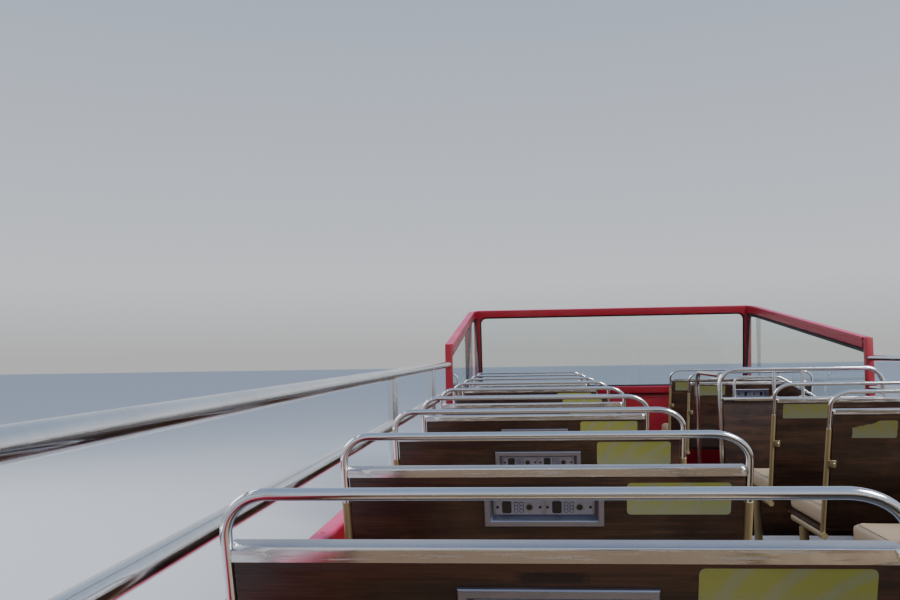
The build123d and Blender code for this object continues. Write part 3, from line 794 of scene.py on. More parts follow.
class Finishes:
    """Every material of the deck, made once."""

    def __init__(self) -> None:
        """Makes the shared effects and the materials."""
        effects = Effects()
        # Red: the dark base is painted shade on the upright faces, and the bright pink on the tops is partly
        # sun bleaching and partly painted light
        self.red = PaintFinish("red_body_paint", Slot.BODY_RED, (0.28, 0.003, 0.015, 1),
                               (0.90, 0.055, 0.210, 1), roughness=0.42, coat_weight=0.12,
                               bleach_and_top_light=1.0).coat(effects)
        self.polished = MetalFinish("polished_tube", Slot.POLISHED, (0.80, 0.80, 0.80, 1),
                                    (0.62, 0.62, 0.60, 1), roughness=0.13, metallic=1.0,
                                    scratch=0.22, smear=0.12).coat(effects)
        # The capping's up-facing faces are tinted dark blue: a painted sky reflection
        self.worn = MetalFinish("worn_capping", Slot.WORN, (0.84, 0.79, 0.74, 1), (0.60, 0.57, 0.54, 1),
                                roughness=0.12, metallic=1.0, scratch=0.8, scratch_scale=240.0,
                                smear=0.1, top_wear=0.22, top_sky_reflection=0.85).coat(effects)
        self.aluminium = MetalFinish("satin_aluminium", Slot.ALUMINIUM, (0.33, 0.34, 0.42, 1),
                                     (0.24, 0.23, 0.25, 1), roughness=0.40, metallic=1.0,
                                     scratch=0.5, smear=0.2).coat(effects)
        self.plate = MetalFinish("brushed_plate", Slot.ALUMINIUM, (0.38, 0.41, 0.54, 1),
                                 (0.30, 0.31, 0.38, 1), roughness=0.48, metallic=0.7,
                                 scratch=0.3).coat(effects)
        # Tan: the lighter second colour on the tops is partly sun bleaching and partly painted light
        self.tan_paint = PaintFinish("tan_frame_paint", Slot.TAN_PAINT, (0.34, 0.25, 0.12, 1),
                                     (0.50, 0.40, 0.23, 1), roughness=0.36, coat_weight=0.25, bleach_and_top_light=0.4,
                                     orange_peel=0.1).coat(effects)
        self.wood = WoodFinish("dark_veneer", Slot.WOOD, (0.020, 0.0085, 0.0050, 1), (0.082, 0.036, 0.018, 1),
                               roughness=0.42, coat_weight=0.10).coat(effects)
        self.vinyl = VinylFinish("tan_vinyl", Slot.VINYL, (0.50, 0.38, 0.25, 1), (0.33, 0.25, 0.17, 1),
                                 roughness=0.5).coat(effects)
        self.piping = VinylFinish("tan_piping", Slot.VINYL, (0.43, 0.32, 0.21, 1), (0.28, 0.21, 0.14, 1),
                                  roughness=0.45).coat(effects)
        self.rubber = PlainFinish("black_rubber", Slot.RUBBER, (0.012, 0.012, 0.013, 1),
                                  (0.05, 0.047, 0.043, 1), roughness=0.6).coat(effects)
        self.plastic = PlainFinish("dark_plastic", Slot.RUBBER, (0.012, 0.014, 0.018, 1),
                                   (0.03, 0.03, 0.03, 1), roughness=0.3, texture=0.05).coat(effects)
        self.floor = PlainFinish("ribbed_floor", Slot.FLOOR, (0.055, 0.056, 0.060, 1),
                                 (0.16, 0.145, 0.125, 1), roughness=0.72, texture=0.5).coat(effects)
        self.underframe = PlainFinish("dark_underframe", Slot.UNDERFRAME, (0.030, 0.030, 0.032, 1),
                                      (0.09, 0.075, 0.06, 1), roughness=0.6).coat(effects)
        self.glass = GlassFinish("clear_glass", Slot.GLASS, (0.90, 0.96, 0.94, 1), (1, 1, 1, 1),
                                 roughness=0.02).coat(effects)
        self.notice = NoticeFinish("blank_notice", Slot.WOOD, (0.37, 0.38, 0.085, 1), (0.34, 0.36, 0.21, 1),
                                   roughness=0.4, coat_weight=0.3).coat(effects)
        # A darker copy of the notice's colours, used on the offside column's backs
        self.aged_notice = NoticeFinish("aged_notice", Slot.WOOD, (0.21, 0.20, 0.055, 1),
                                        (0.19, 0.20, 0.12, 1), roughness=0.5, coat_weight=0.1,
                                        foot=(0.20, 0.21, 0.13, 1)).coat(effects)


class NodeTool(Tree):
    """A Geometry Nodes tree with named inputs, run on an object and then applied."""

    name = "tool"
    sizes: dict[str, tuple[str, float | None]] = {}

    def __init__(self) -> None:
        """Builds the tree with its sockets, and ends it in real meshes with their material."""
        super().__init__(bpy.data.node_groups.new(self.name, "GeometryNodeTree"))
        face = self.tree.interface
        face.new_socket("Geometry", in_out="INPUT", socket_type="NodeSocketGeometry")
        face.new_socket("Geometry", in_out="OUTPUT", socket_type="NodeSocketGeometry")
        self.ids = {}
        for label, (kind, value) in {**self.sizes, "Material": ("NodeSocketMaterial", None)}.items():
            socket = face.new_socket(label, in_out="INPUT", socket_type=kind)
            if value is not None:
                socket.default_value = value
            self.ids[label] = socket.identifier
        self.inputs = self.add("NodeGroupInput").outputs
        result = self.add("NodeGroupOutput")
        realize = self.put("GeometryNodeRealizeInstances", Geometry=self.build())
        paint = self.put("GeometryNodeSetMaterial", Geometry=realize.outputs["Geometry"],
                          Material=self.inputs["Material"])
        self.feed(result, Geometry=paint.outputs["Geometry"])

    def build(self) -> Socket:
        """Adds the tool's own nodes.

        Returns:
            The socket with its geometry.
        """
        raise NotImplementedError

    def placed(self, shape: Socket, points: Socket, **values: Value) -> Socket:
        """A shape's instances on points."""
        node = self.put("GeometryNodeInstanceOnPoints", Points=points, Instance=shape, **values)
        return node.outputs["Instances"]

    def run(self, piece: Piece, coat: Coat, **values: object) -> Piece:
        """Runs the tree on an object and applies it.

        Args:
            piece: the object whose mesh is the input.
            coat: the material that the tree sets.
            values: the tree's inputs by name, with underscores for spaces.

        Returns:
            The same object with its new mesh.
        """
        modifier = piece.modifiers.new(self.name, "NODES")
        modifier.node_group = self.tree
        modifier[self.ids["Material"]] = coat.material
        for label, value in values.items():
            modifier[self.ids[label.replace("_", " ")]] = value
        return apply_modifiers(piece)


class TubeTool(NodeTool):
    """Round tubes along every chain of edges, their corners bent to a radius."""

    name = "bent_tubes"
    sizes = {
        "Tube Radius": ("NodeSocketFloat", 0.01),
        "Bend Radius": ("NodeSocketFloat", 0.05),
        "Bend Steps": ("NodeSocketInt", 10),
        "Sides": ("NodeSocketInt", 20),
    }

    def build(self) -> Socket:
        """Fillets the chains and sweeps a circle along them."""
        inputs = self.inputs
        chains = self.put("GeometryNodeMeshToCurve", Mesh=inputs["Geometry"])
        fillet = self.feed(self.add("GeometryNodeFilletCurve", mode="POLY"), Curve=chains.outputs["Curve"],
                           Radius=inputs["Bend Radius"], Count=inputs["Bend Steps"], Limit_Radius=True)
        circle = self.put("GeometryNodeCurvePrimitiveCircle", Resolution=inputs["Sides"],
                           Radius=inputs["Tube Radius"])
        sweep = self.put("GeometryNodeCurveToMesh", Curve=fillet.outputs["Curve"],
                          Profile_Curve=circle.outputs["Curve"], Fill_Caps=True)
        shade = self.put("GeometryNodeSetShadeSmooth", Geometry=sweep.outputs["Mesh"])
        return shade.outputs["Geometry"]


class FasteningTool(NodeTool):
    """A low domed head on every point, turned to face the point's own direction."""

    name = "domed_heads"
    sizes = {
        "Head Radius": ("NodeSocketFloat", 0.004),
        "Head Height": ("NodeSocketFloat", 0.002),
        "Sides": ("NodeSocketInt", 12),
    }

    def build(self) -> Socket:
        """Puts a squashed ball on each point, its middle on the surface."""
        inputs = self.inputs
        ball = self.put("GeometryNodeMeshUVSphere", Segments=inputs["Sides"], Rings=6, Radius=1.0)
        scale = self.put("ShaderNodeCombineXYZ", X=inputs["Head Radius"], Y=inputs["Head Radius"],
                          Z=inputs["Head Height"])
        shape = self.put("GeometryNodeTransform", Geometry=ball.outputs["Mesh"],
                          Scale=scale.outputs["Vector"])
        facing = self.feed(self.add("GeometryNodeInputNamedAttribute", data_type="FLOAT_VECTOR"),
                           Name="facing")
        turn = self.feed(self.add("FunctionNodeAlignRotationToVector", axis="Z"),
                         Vector=facing.outputs["Attribute"])
        return self.placed(shape.outputs["Geometry"], inputs["Geometry"], Rotation=turn.outputs["Rotation"])


class CopiesTool(NodeTool):
    """A shape copied to every point of an object."""

    name = "copies_at_places"
    sizes = {"Shape": ("NodeSocketObject", None)}

    def build(self) -> Socket:
        """Instances the shape's mesh on the points."""
        shape = self.put("GeometryNodeObjectInfo", Object=self.inputs["Shape"])
        return self.placed(shape.outputs["Geometry"], self.inputs["Geometry"])


class RibTool(NodeTool):
    """Long ribs side by side on a floor strip, from the middle of the first one."""

    name = "floor_ribs"
    sizes = {
        "Count": ("NodeSocketInt", 20),
        "Pitch": ("NodeSocketFloat", 0.02),
        "Width": ("NodeSocketFloat", 0.008),
        "Length": ("NodeSocketFloat", 1.0),
        "Height": ("NodeSocketFloat", 0.002),
    }

    def build(self) -> Socket:
        """Lays ribs along Y, a pitch apart in X."""
        inputs = self.inputs
        place = self.add("GeometryNodeInputPosition").outputs["Position"]
        start = self.feed(self.add("GeometryNodeSampleIndex", data_type="FLOAT_VECTOR"),
                          Geometry=inputs["Geometry"], Value=place)
        offset = self.put("ShaderNodeCombineXYZ", X=inputs["Pitch"])
        line = self.put("GeometryNodeMeshLine", Count=inputs["Count"],
                         Start_Location=start.outputs["Value"], Offset=offset.outputs["Vector"])
        size = self.put("ShaderNodeCombineXYZ", X=inputs["Width"], Y=inputs["Length"],
                         Z=inputs["Height"])
        rib = self.put("GeometryNodeMeshCube", Size=size.outputs["Vector"])
        return self.placed(rib.outputs["Mesh"], line.outputs["Mesh"])


class Workshop:
    """The finishes and tools that every sub-assembly is built with."""

    def __init__(self) -> None:
        """Makes the finishes and builds each tool's tree once."""
        self.finishes = Finishes()
        self.tubes = TubeTool()
        self.heads = FasteningTool()
        self.copies = CopiesTool()
        self.ribs = RibTool()

    def tube_piece(self, name: str, routes: list[list[Vector]], radius: float, coat: Coat, bend: float = 0.0,
                   steps: int = 10, sides: int = 20) -> Piece:
        """Round tubes along several routes as one shape.

        Args:
            name: the shape's name.
            routes: the corner points of each tube.
            radius: the tubes' radius.
            coat: their material.
            bend: the radius of their bends.
            steps: points on each bend.
            sides: points round each tube.

        Returns:
            The shape.
        """
        verts, edges = [], []
        for route in routes:
            first = len(verts)
            verts += route
            edges += [(first + i, first + i + 1) for i in range(len(route) - 1)]
        return self.tubes.run(mesh_object(name, verts, [], edges), coat, Tube_Radius=radius,
                              Bend_Radius=bend, Bend_Steps=steps, Sides=sides)

    def finished_tubes(self, name: str, routes: list[list[Vector]], radius: float, coat: Coat, *replaces: str,
                       sharp_ends: bool = False, **bends: float) -> None:
        """Round tubes along several routes as one finished piece.

        Args:
            name: the piece's name.
            routes: the corner points of each tube.
            radius: the tubes' radius.
            coat: their material and slot.
            replaces: the CAD nodes that they stand for.
            sharp_ends: whether the tubes' ends show, so that their edges are kept.
            bends: the bends' radius and the facets, as in tube_piece.
        """
        piece = self.tube_piece(name, routes, radius, coat, **bends)
        finish_piece(piece, coat, *replaces, sharp=40 if sharp_ends else None)

    def finished_heads(self, name: str, places: list[tuple[Vector, Vector]], radius: float, height: float,
                       coat: Coat) -> None:
        """Screw or rivet heads as one finished piece.

        Args:
            name: the piece's name.
            places: the middle and the outward direction of each head.
            radius: a head's radius.
            height: how far a head stands out.
            coat: the heads' material and slot.
        """
        piece = mesh_object(name, [place for place, _ in places], [])
        facing = piece.data.attributes.new("facing", "FLOAT_VECTOR", "POINT")
        for index, (_, direction) in enumerate(places):
            facing.data[index].vector = direction
        self.heads.run(piece, coat, Head_Radius=radius, Head_Height=height)
        finish_piece(piece, coat, sharp=40)

    def copy_piece(self, name: str, shape: Piece, places: list[Point | Vector], coat: Coat) -> Piece:
        """Copies of one shape at several places as one piece.

        Args:
            name: the piece's name.
            shape: the object to copy, which is removed.
            places: where its origin goes.
            coat: the copies' material.

        Returns:
            The piece.
        """
        piece = self.copies.run(mesh_object(name, places, []), coat, Shape=shape)
        bpy.data.objects.remove(shape)
        return piece


def rounded_block(name: str, low: Vector, high: Vector, bevel: float, segments: int = 3) -> Piece:
    """A block with rounded edges.

    Args:
        name: the piece's name.
        low: its lowest corner.
        high: its highest corner.
        bevel: the radius of its edges.
        segments: facets round each edge.

    Returns:
        The piece.
    """
    mesh = bmesh.new()
    bmesh.ops.create_cube(mesh, size=1.0)
    for vert in mesh.verts:
        vert.co = Vector([(low[i] + high[i]) / 2 + vert.co[i] * (high[i] - low[i]) for i in range(3)])
    bmesh.ops.bevel(mesh, geom=mesh.edges[:], offset=bevel, segments=segments, affect="EDGES", profile=0.5)
    made = mesh_object(name, [], [])
    mesh.to_mesh(made.data)
    mesh.free()
    smooth(made, 50)
    return made


def move_mesh(piece: Piece, matrix: Matrix) -> Piece:
    """Moves a piece within its mesh, its faces kept outwards if the move mirrors it."""
    piece.data.transform(matrix)
    if matrix.determinant() < 0:
        piece.data.flip_normals()
    return piece


@dataclass
class SeatPlace:
    """Where one twin seat stands: its middle, the rear of its capping, the floor and its side."""

    x: float
    y: float
    floor: float
    side: Side

    @property
    def matrix(self) -> Matrix:
        """From the seat's own space, its wall at -X, to the deck."""
        mirror = Matrix.Scale(-self.side.value, 4, (1, 0, 0))
        return Matrix.Translation((self.x, self.y, self.floor)) @ mirror


@dataclass
class SeatSizes:
    """The twin seat's own sizes, in its own space with the floor at 0."""

    rake: float = math.radians(16.0)
    back_top: float = 0.857
    capping_height: float = 0.0195
    capping_rear: float = 0.005
    capping_depth: float = 0.045
    capping_corner: float = 0.066
    capping_aisle_corner: float = 0.012
    capping_reach: float = 0.012
    capping_notch: float = 0.014
    capping_roll: float = 0.002
    capping_hip: float = 0.0055
    capping_gap: float = 0.0003
    hoop_radius: float = 0.008
    hoop_bend: float = 0.058
    hoop_aisle_bend: float = 0.078
    hoop_rise: float = 0.066
    hoop_drop: float = 0.070
    sleeve_drop: float = 0.080
    hoop_setback: float = 0.012
    upright_radius: float = 0.010
    board_gap: float = 0.008
    board_bottom: float = 0.390
    lug_up: float = 0.250
    lug_height: float = 0.030
    lug_depth: float = 0.008
    lug_proud: float = 0.003
    lug_lap: float = 0.012
    lug_edge: float = 0.0012
    collar_wider: float = 0.006
    collar_height: float = 0.006
    plate_edge: float = 0.0025
    bolt_inset: tuple[float, float] = (0.015, 0.025)
    screw_inset: float = 0.004
    # Radius and height of the lugs' screw heads and of the bolt heads
    screw_head: tuple[float, float] = (0.0045, 0.0018)
    bolt_head: tuple[float, float] = (0.008, 0.005)
    base_top: float = 0.370
    base_tube: float = 0.026
    base_corner: float = 0.070
    audio_drop: float = 0.034
    audio_width: float = 0.248
    audio_height: float = 0.076
    audio_proud: float = 0.006
    tray_floor: float = 0.002
    board_rear: float = 0.002
    board: float = 0.012
    plate_middle: float = 0.052
    notice_width: float = 0.209
    notice_height: float = 0.070
    notice_edge: float = 0.037
    notice_drop: float = 0.0065
    notice_corner: float = 0.008
    notice_thickness: float = 0.0006

    @property
    def tilt(self) -> Matrix:
        """From an upright back at the floor to the raked back."""
        return Matrix.Translation((0, 0, self.back_top)) @ Matrix.Rotation(self.rake, 4, "X")

    @property
    def board_top(self) -> float:
        """A board's top in the back's plane, from the capping's top."""
        return -self.capping_height / math.cos(self.rake)

    @property
    def audio_middle(self) -> float:
        """The audio box's middle in the back's plane, from the capping's top."""
        return self.board_top - self.audio_drop - self.audio_height / 2

    @property
    def lug_foot(self) -> float:
        """The lugs' foot in the back's plane, from the capping's top."""
        return -(self.back_top - self.board_bottom) / math.cos(self.rake) + self.lug_up


@dataclass
class TwinSeats:
    """Every twin seat of the deck."""

    shop: Workshop
    sizes: SeatSizes = field(default_factory=SeatSizes)
    places: list[SeatPlace] = field(default_factory=list)
    side_x: float = 0.0
    low_row: int = 3
    low_drop: float = 0.008
    torn_row: int = 5
    torn_drop: float = 0.020

    def __post_init__(self) -> None:
        """Reads the seats' places from the cappings and their width from the hoops."""
        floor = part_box("deck_floor_rear")[1].z
        for box in solids_of("seat_back_cappings"):
            side = Side.NEARSIDE if box.centre.x < 0 else Side.OFFSIDE
            self.places.append(SeatPlace(box.centre.x, box.low.y, floor, side))
        hoop = solids_of("seat_hoops")[0]
        self.side_x = hoop.size.x / 2 - self.sizes.hoop_radius

    def raked(self, x: float, y: float, z: float) -> Vector:
        """A point of the raked back in the seat's own space."""
        turned = Matrix.Rotation(self.sizes.rake, 4, "X") @ Vector((x, y, z))
        return turned + Vector((0, 0, self.sizes.back_top))

    def everywhere(self, route: list[Vector]) -> list[list[Vector]]:
        """A route of the seat's own space at every seat."""
        return [[place.matrix @ point for point in route] for place in self.places]

    def hoop_route(self) -> Outline:
        """The middle line of a grab hoop in the back's plane, its bend at the aisle drawn out along the top.

        Returns:
            X and height of its points, from the foot at the wall to the foot at the aisle.
        """
        size, steps = self.sizes, 14
        angles = [math.pi / 2 * step / steps for step in range(steps + 1)]
        route = [(-self.side_x, -size.sleeve_drop)]
        for side, reach in ((-1, size.hoop_bend), (1, size.hoop_aisle_bend)):
            turn = [(side * (self.side_x - reach * (1 - math.cos(angle))),
                     size.hoop_rise - size.hoop_bend * (1 - math.sin(angle))) for angle in angles]
            route += turn if side < 0 else turn[::-1]
        return route + [(self.side_x, -size.sleeve_drop)]

    def build_tubes(self) -> None:
        """Bends the hoops, the uprights and the base frames."""
        size, shop, finishes = self.sizes, self.shop, self.shop.finishes
        hoop = [self.raked(x, size.hoop_setback, z) for x, z in self.hoop_route()]
        shop.finished_tubes("grab_hoops", self.everywhere(hoop), size.hoop_radius, finishes.polished,
                            "seat_hoops", steps=1)
        upright = solids_of("seat_uprights")[0]
        foot_drop = (upright.high.z - upright.low.z) / math.cos(size.rake) + size.hoop_drop
        routes = []
        for side in (-1, 1):
            routes += self.everywhere([self.raked(side * self.side_x, size.hoop_setback, -drop)
                                       for drop in (size.sleeve_drop, foot_drop)])
        shop.finished_tubes("back_uprights", routes, size.upright_radius, finishes.tan_paint,
                            "seat_uprights", sides=16)
        base, place = solids_of("seat_base_frames")[0], self.places[0]
        rear, front = base.low.y - place.y, base.high.y - place.y - size.base_tube / 2
        corners = [(-self.side_x, rear), (-self.side_x, front), (self.side_x, front), (self.side_x, rear)]
        loop = [Vector((x, y, size.base_top - size.base_tube / 2)) for x, y in corners]
        shop.finished_tubes("base_frames", self.everywhere(loop), size.base_tube / 2, finishes.tan_paint,
                            "seat_base_frames", bend=size.base_corner, steps=8, sides=16)

    def copies(self, name: str, maker: Callable[[], Piece], coat: Coat, *replaces: str,
               places: list[SeatPlace] | None = None) -> None:
        """One finished piece with a copy of a shape in every seat, mirrored in the offside column.

        Args:
            name: the piece's name.
            maker: makes the shape in the seat's own space.
            coat: its material and slot.
            replaces: the CAD nodes that it stands for.
            places: the seats that get it, or else every seat.
        """
        halves = []
        for side in Side:
            spots = [(p.x, p.y, p.floor) for p in places or self.places if p.side is side]
            if not spots:
                continue
            shape = maker()
            if side is Side.OFFSIDE:
                move_mesh(shape, Matrix.Scale(-1, 4, (1, 0, 0)))
            halves.append(self.shop.copy_piece(f"{name}_{side.name.lower()}", shape, spots, coat))
        finish_piece(joined(name, halves), coat, *replaces)

    def capping(self) -> Piece:
        """The level cap on a back, its top rounded at the wall corner and its flange square down to the legs.

        Returns:
            The cap, which reaches further out past the hoop's legs at its rear.
        """
        size = self.sizes
        top, roll = size.back_top, size.capping_roll
        half = self.side_x - size.hoop_radius - size.capping_gap
        wall, aisle = -half - size.capping_reach, half + size.capping_reach / 3
        deep, notch, across, corner = (size.capping_depth, size.capping_notch, size.capping_corner,
                                       size.capping_aisle_corner)
        along = deep - roll
        angles = [math.radians(90 * step / 12) for step in range(13)]
        upper = [(wall + across * (1 - math.cos(angle)), along * (1 - math.sin(angle))) for angle in angles]
        upper += [(half - corner * (1 - math.sin(angle)), corner * (1 - math.cos(angle))) for angle in angles]
        flange = stepped([(wall, along), (-half, notch), (-half, 0.0), (wall + across, 0.0)], 4)
        flange += stepped([(half - corner, 0.0), (half, 0.0), (half, corner)], 6)
        far_side = [(half, notch), (aisle, notch + 0.003), (aisle, deep), (wall, deep)]
        # Loops from the top down: outline, height, how far it is drawn in
        rings = [(upper, top, roll), (upper, top - 0.3 * roll, 0.3 * roll), (upper, top - roll, 0.0),
                 (flange, top - size.capping_hip, 0.0), (flange, top - size.capping_height, 0.0)]
        loops = []
        for outline, height, inset in rings:
            loop = []
            for x, y in outline + far_side:
                pull_x = max(-inset, min(inset, -x))
                pull_y = max(-inset, min(inset, deep / 2 - y))
                loop.append((x + pull_x, size.capping_rear + y + pull_y, height))
            loops.append(loop)
        cap = looped("capping", loops, closed=False)
        smooth(cap, 21)
        return cap

    def audio_frame(self) -> Piece:
        """The mitred frame and sloped tray of a back's audio box."""
        size = self.sizes
        face, floor = size.board_rear - size.audio_proud, size.board_rear + size.board
        # Rings from the board outwards and down into the tray: inset, depth
        rings = [(0.0145, floor), (0.0145, size.board_rear), (0.0, size.board_rear), (0.0, face + 0.0015),
                 (0.0015, face), (0.0115, face), (0.0135, face + 0.0015), (0.0195, floor - size.tray_floor)]
        loops = [[self.raked(sx * (size.audio_width / 2 - inset), depth,
                             size.audio_middle + sz * (size.audio_height / 2 - inset))
                  for sx, sz in ((-1, -1), (1, -1), (1, 1), (-1, 1))] for inset, depth in rings]
        return looped("audio_frame", loops, closed=False)

    def audio_part(self, blocks: list[tuple[float, ...]], depth: float, proud: float) -> Piece:
        """Small raised shapes on the audio plates, in the raked back's own plane.

        Args:
            blocks: middle X and Z from the plate's middle, width, height and corner radius of each.
            depth: where their foot is.
            proud: how far they stand out.

        Returns:
            One shape with the blocks of both plates.
        """
        size = self.sizes
        edge = min(0.0006, proud / 3)
        parts = []
        for plate in (-1, 1):
            for x, z, width, height, radius in blocks:
                loops = []
                for inset, out in ((0.0, 0.0), (0.0, proud - edge), (edge, proud)):
                    plan = rounded_plan(width / 2 - inset, height / 2 - inset, radius - inset, 5)
                    loops.append([(plate * size.plate_middle + x + u, depth - out, size.audio_middle + z + v)
                                  for u, v in plan])
                parts.append(looped("part", loops, closed=False))
        return move_mesh(joined("audio_part", parts), size.tilt)

    def lugs(self) -> Piece:
        """The tabs that carry a back board from its uprights."""
        size = self.sizes
        inner = self.side_x - size.upright_radius - size.board_gap
        # On each side a thin tab laps over the board and a thick one ends at its edge: end, front
        tabs = ((inner - size.lug_lap, size.board_rear), (inner, size.board_rear + size.lug_depth))
        parts = []
        for side in (-1, 1):
            for end, front in tabs:
                first, last = sorted((side * self.side_x, side * end))
                low = Vector((first, size.board_rear - size.lug_proud, size.lug_foot))
                high = Vector((last, front, size.lug_foot + size.lug_height))
                parts.append(rounded_block("lug", low, high, size.lug_edge, 2))
        return move_mesh(joined("lugs", parts), size.tilt)

    def notice(self, drop: float = 0.0, tear: tuple[tuple[float, float], ...] = ()) -> Piece:
        """A blank notice with round corners on the aisle side of a back.

        Args:
            drop: how much lower than usual it sits.
            tear: its torn edge at the aisle, from its foot up, in parts of its width and height.

        Returns:
            The notice in the seat's own space.
        """
        size, radius = self.sizes, self.sizes.notice_corner
        right, top = self.side_x - size.notice_edge, size.board_top - size.notice_drop - drop
        left, bottom = right - size.notice_width, top - size.notice_height
        corners = [(right - radius, bottom + radius, 270), (right - radius, top - radius, 0),
                   (left + radius, top - radius, 90), (left + radius, bottom + radius, 180)]
        rim = [(left + across * size.notice_width, bottom + up * size.notice_height) for across, up in tear]
        for x, z, first in corners[2:] if tear else corners:
            rim += arc(x, z, radius, first, 4)
        made = looped("notice", [[self.raked(x, size.board_rear - depth, z) for x, z in rim]
                                 for depth in (0.0, size.notice_thickness)], closed=False)
        spread = made.data.uv_layers.new(name=NOTICE_UV)
        for loop in made.data.loops:
            x, z = rim[loop.vertex_index % len(rim)]
            spread.data[loop.index].uv = ((x - left) / size.notice_width, (z - bottom) / size.notice_height)
        return made

    def row(self, side: Side, number: int) -> SeatPlace:
        """The seat in a row, counted from the rear of its side."""
        column = [place for place in self.places if place.side is side]
        return sorted(column, key=lambda place: place.y)[number]

    def build_notices(self) -> None:
        """Sticks a notice on every back: one is low, one low and torn, and the offside column's are darker.
        """
        fresh, darker_coat = self.shop.finishes.notice, self.shop.finishes.aged_notice
        low, torn = self.row(Side.NEARSIDE, self.low_row), self.row(Side.OFFSIDE, self.torn_row)
        tear = ((0.79, 0.02), (0.78, 0.30), (0.79, 0.60), (0.74, 0.62), (0.66, 0.70), (0.60, 0.71),
                (0.53, 0.78), (0.47, 0.79), (0.39, 0.87), (0.34, 0.97), (0.29, 1.0))
        for name, coat, side in (("notices", fresh, Side.NEARSIDE), ("aged_notices", darker_coat, Side.OFFSIDE)):
            plain = [place for place in self.places if place.side is side and place not in (low, torn)]
            self.copies(name, self.notice, coat, places=plain)
        self.copies("low_notice", lambda: self.notice(self.low_drop), fresh, places=[low])
        self.copies("torn_notice", lambda: self.notice(self.torn_drop, tear), darker_coat, places=[torn])

    def build_backs(self) -> None:
        """Makes the cappings, audio boxes, notices and lugs with their screws."""
        finishes, size = self.shop.finishes, self.sizes
        self.copies("back_cappings", self.capping, finishes.worn, "seat_back_cappings")
        self.copies("audio_frames", self.audio_frame, finishes.aluminium, "seat_audio_trays")
        depth = size.board_rear + size.board - size.tray_floor
        # Shapes on a plate: X, Z, width, height, corner radius
        plate = [(0.0, 0.0, 0.096, 0.034, 0.002)]
        dark = [(-0.025, 0.0, 0.0194, 0.027, 0.004), (0.022, 0.0, 0.013, 0.013, 0.0064),
                (-0.0443, 0.0, 0.006, 0.006, 0.0029), (0.0443, 0.0, 0.006, 0.006, 0.0029)]
        rim = [(0.022, 0.0, 0.019, 0.019, 0.0094)]
        keys = [(x, row * 0.0078, 0.0072, 0.0066, 0.0032) for x in (-0.0057, 0.0057) for row in (-1, 0, 1)]
        wells = [(x, z, width + 0.0022, height + 0.0022, radius + 0.0010)
                 for x, z, width, height, radius in keys]
        # Layers: name, shapes, height of their foot, how proud they stand, finish, what they replace
        layers = [("audio_plates", plate, 0.0, 0.002, finishes.plate, "seat_audio_plates"),
                  ("audio_rims", rim, 0.002, 0.0008, finishes.aluminium),
                  ("audio_windows", dark, 0.002, 0.0012, finishes.plastic),
                  ("audio_wells", wells, 0.002, 0.0003, finishes.plastic),
                  ("audio_keys", keys, 0.002, 0.0014, finishes.plate)]
        for name, shapes, foot, proud, coat, *nodes in layers:
            self.copies(name, lambda: self.audio_part(shapes, depth - foot, proud), coat, *nodes)
        self.build_notices()
        self.copies("back_lugs", self.lugs, finishes.tan_paint)
        across = self.side_x - size.upright_radius - size.board_gap - size.screw_inset
        height = size.lug_foot + size.lug_height / 2
        screws = []
        for place in self.places:
            facing = place.matrix.to_3x3() @ Matrix.Rotation(size.rake, 3, "X") @ Vector((0, -1, 0))
            for side in (-1, 1):
                spot = self.raked(side * across, size.board_rear - size.lug_proud, height)
                screws.append((place.matrix @ spot, facing))
        self.shop.finished_heads("lug_screws", screws, *size.screw_head, finishes.worn)

    def build_legs(self) -> None:
        """Stands round legs on their long plates, each plate held by bolts."""
        size, shop, finishes = self.sizes, self.shop, self.shop.finishes
        legs, plates = solids_of("seat_aisle_legs"), solids_of("seat_foot_plates")
        routes, collars = [], []
        for box in legs:
            foot = Vector((box.centre.x, box.centre.y, box.low.z))
            routes.append([foot, Vector((foot.x, foot.y, box.high.z))])
            collars.append([foot, Vector((foot.x, foot.y, box.low.z + size.collar_height))])
        radius = legs[-1].size.x / 2
        shop.finished_tubes("seat_legs", routes, radius, finishes.tan_paint, "seat_aisle_legs",
                            sharp_ends=True, sides=24)
        shop.finished_tubes("leg_collars", collars, radius + size.collar_wider, finishes.tan_paint,
                            sharp_ends=True, sides=24)
        half = plates[0].size / 2
        shape = rounded_block("plate", -half, half, size.plate_edge, 2)
        piece = shop.copy_piece("foot_plates", shape, [box.centre for box in plates], finishes.tan_paint)
        finish_piece(piece, finishes.tan_paint, "seat_foot_plates")
        inset_x, inset_y = size.bolt_inset
        bolts = [(box.centre + Vector((sx * (half.x - inset_x), sy * (half.y - inset_y), half.z)), UP)
                 for box in plates for sx in (-1, 1) for sy in (-1, 1)]
        shop.finished_heads("foot_bolts", bolts, *size.bolt_head, finishes.worn)

    def build(self) -> None:
        """Builds and dresses all of the seats."""
        self.build_tubes()
        self.build_backs()
        self.build_legs()


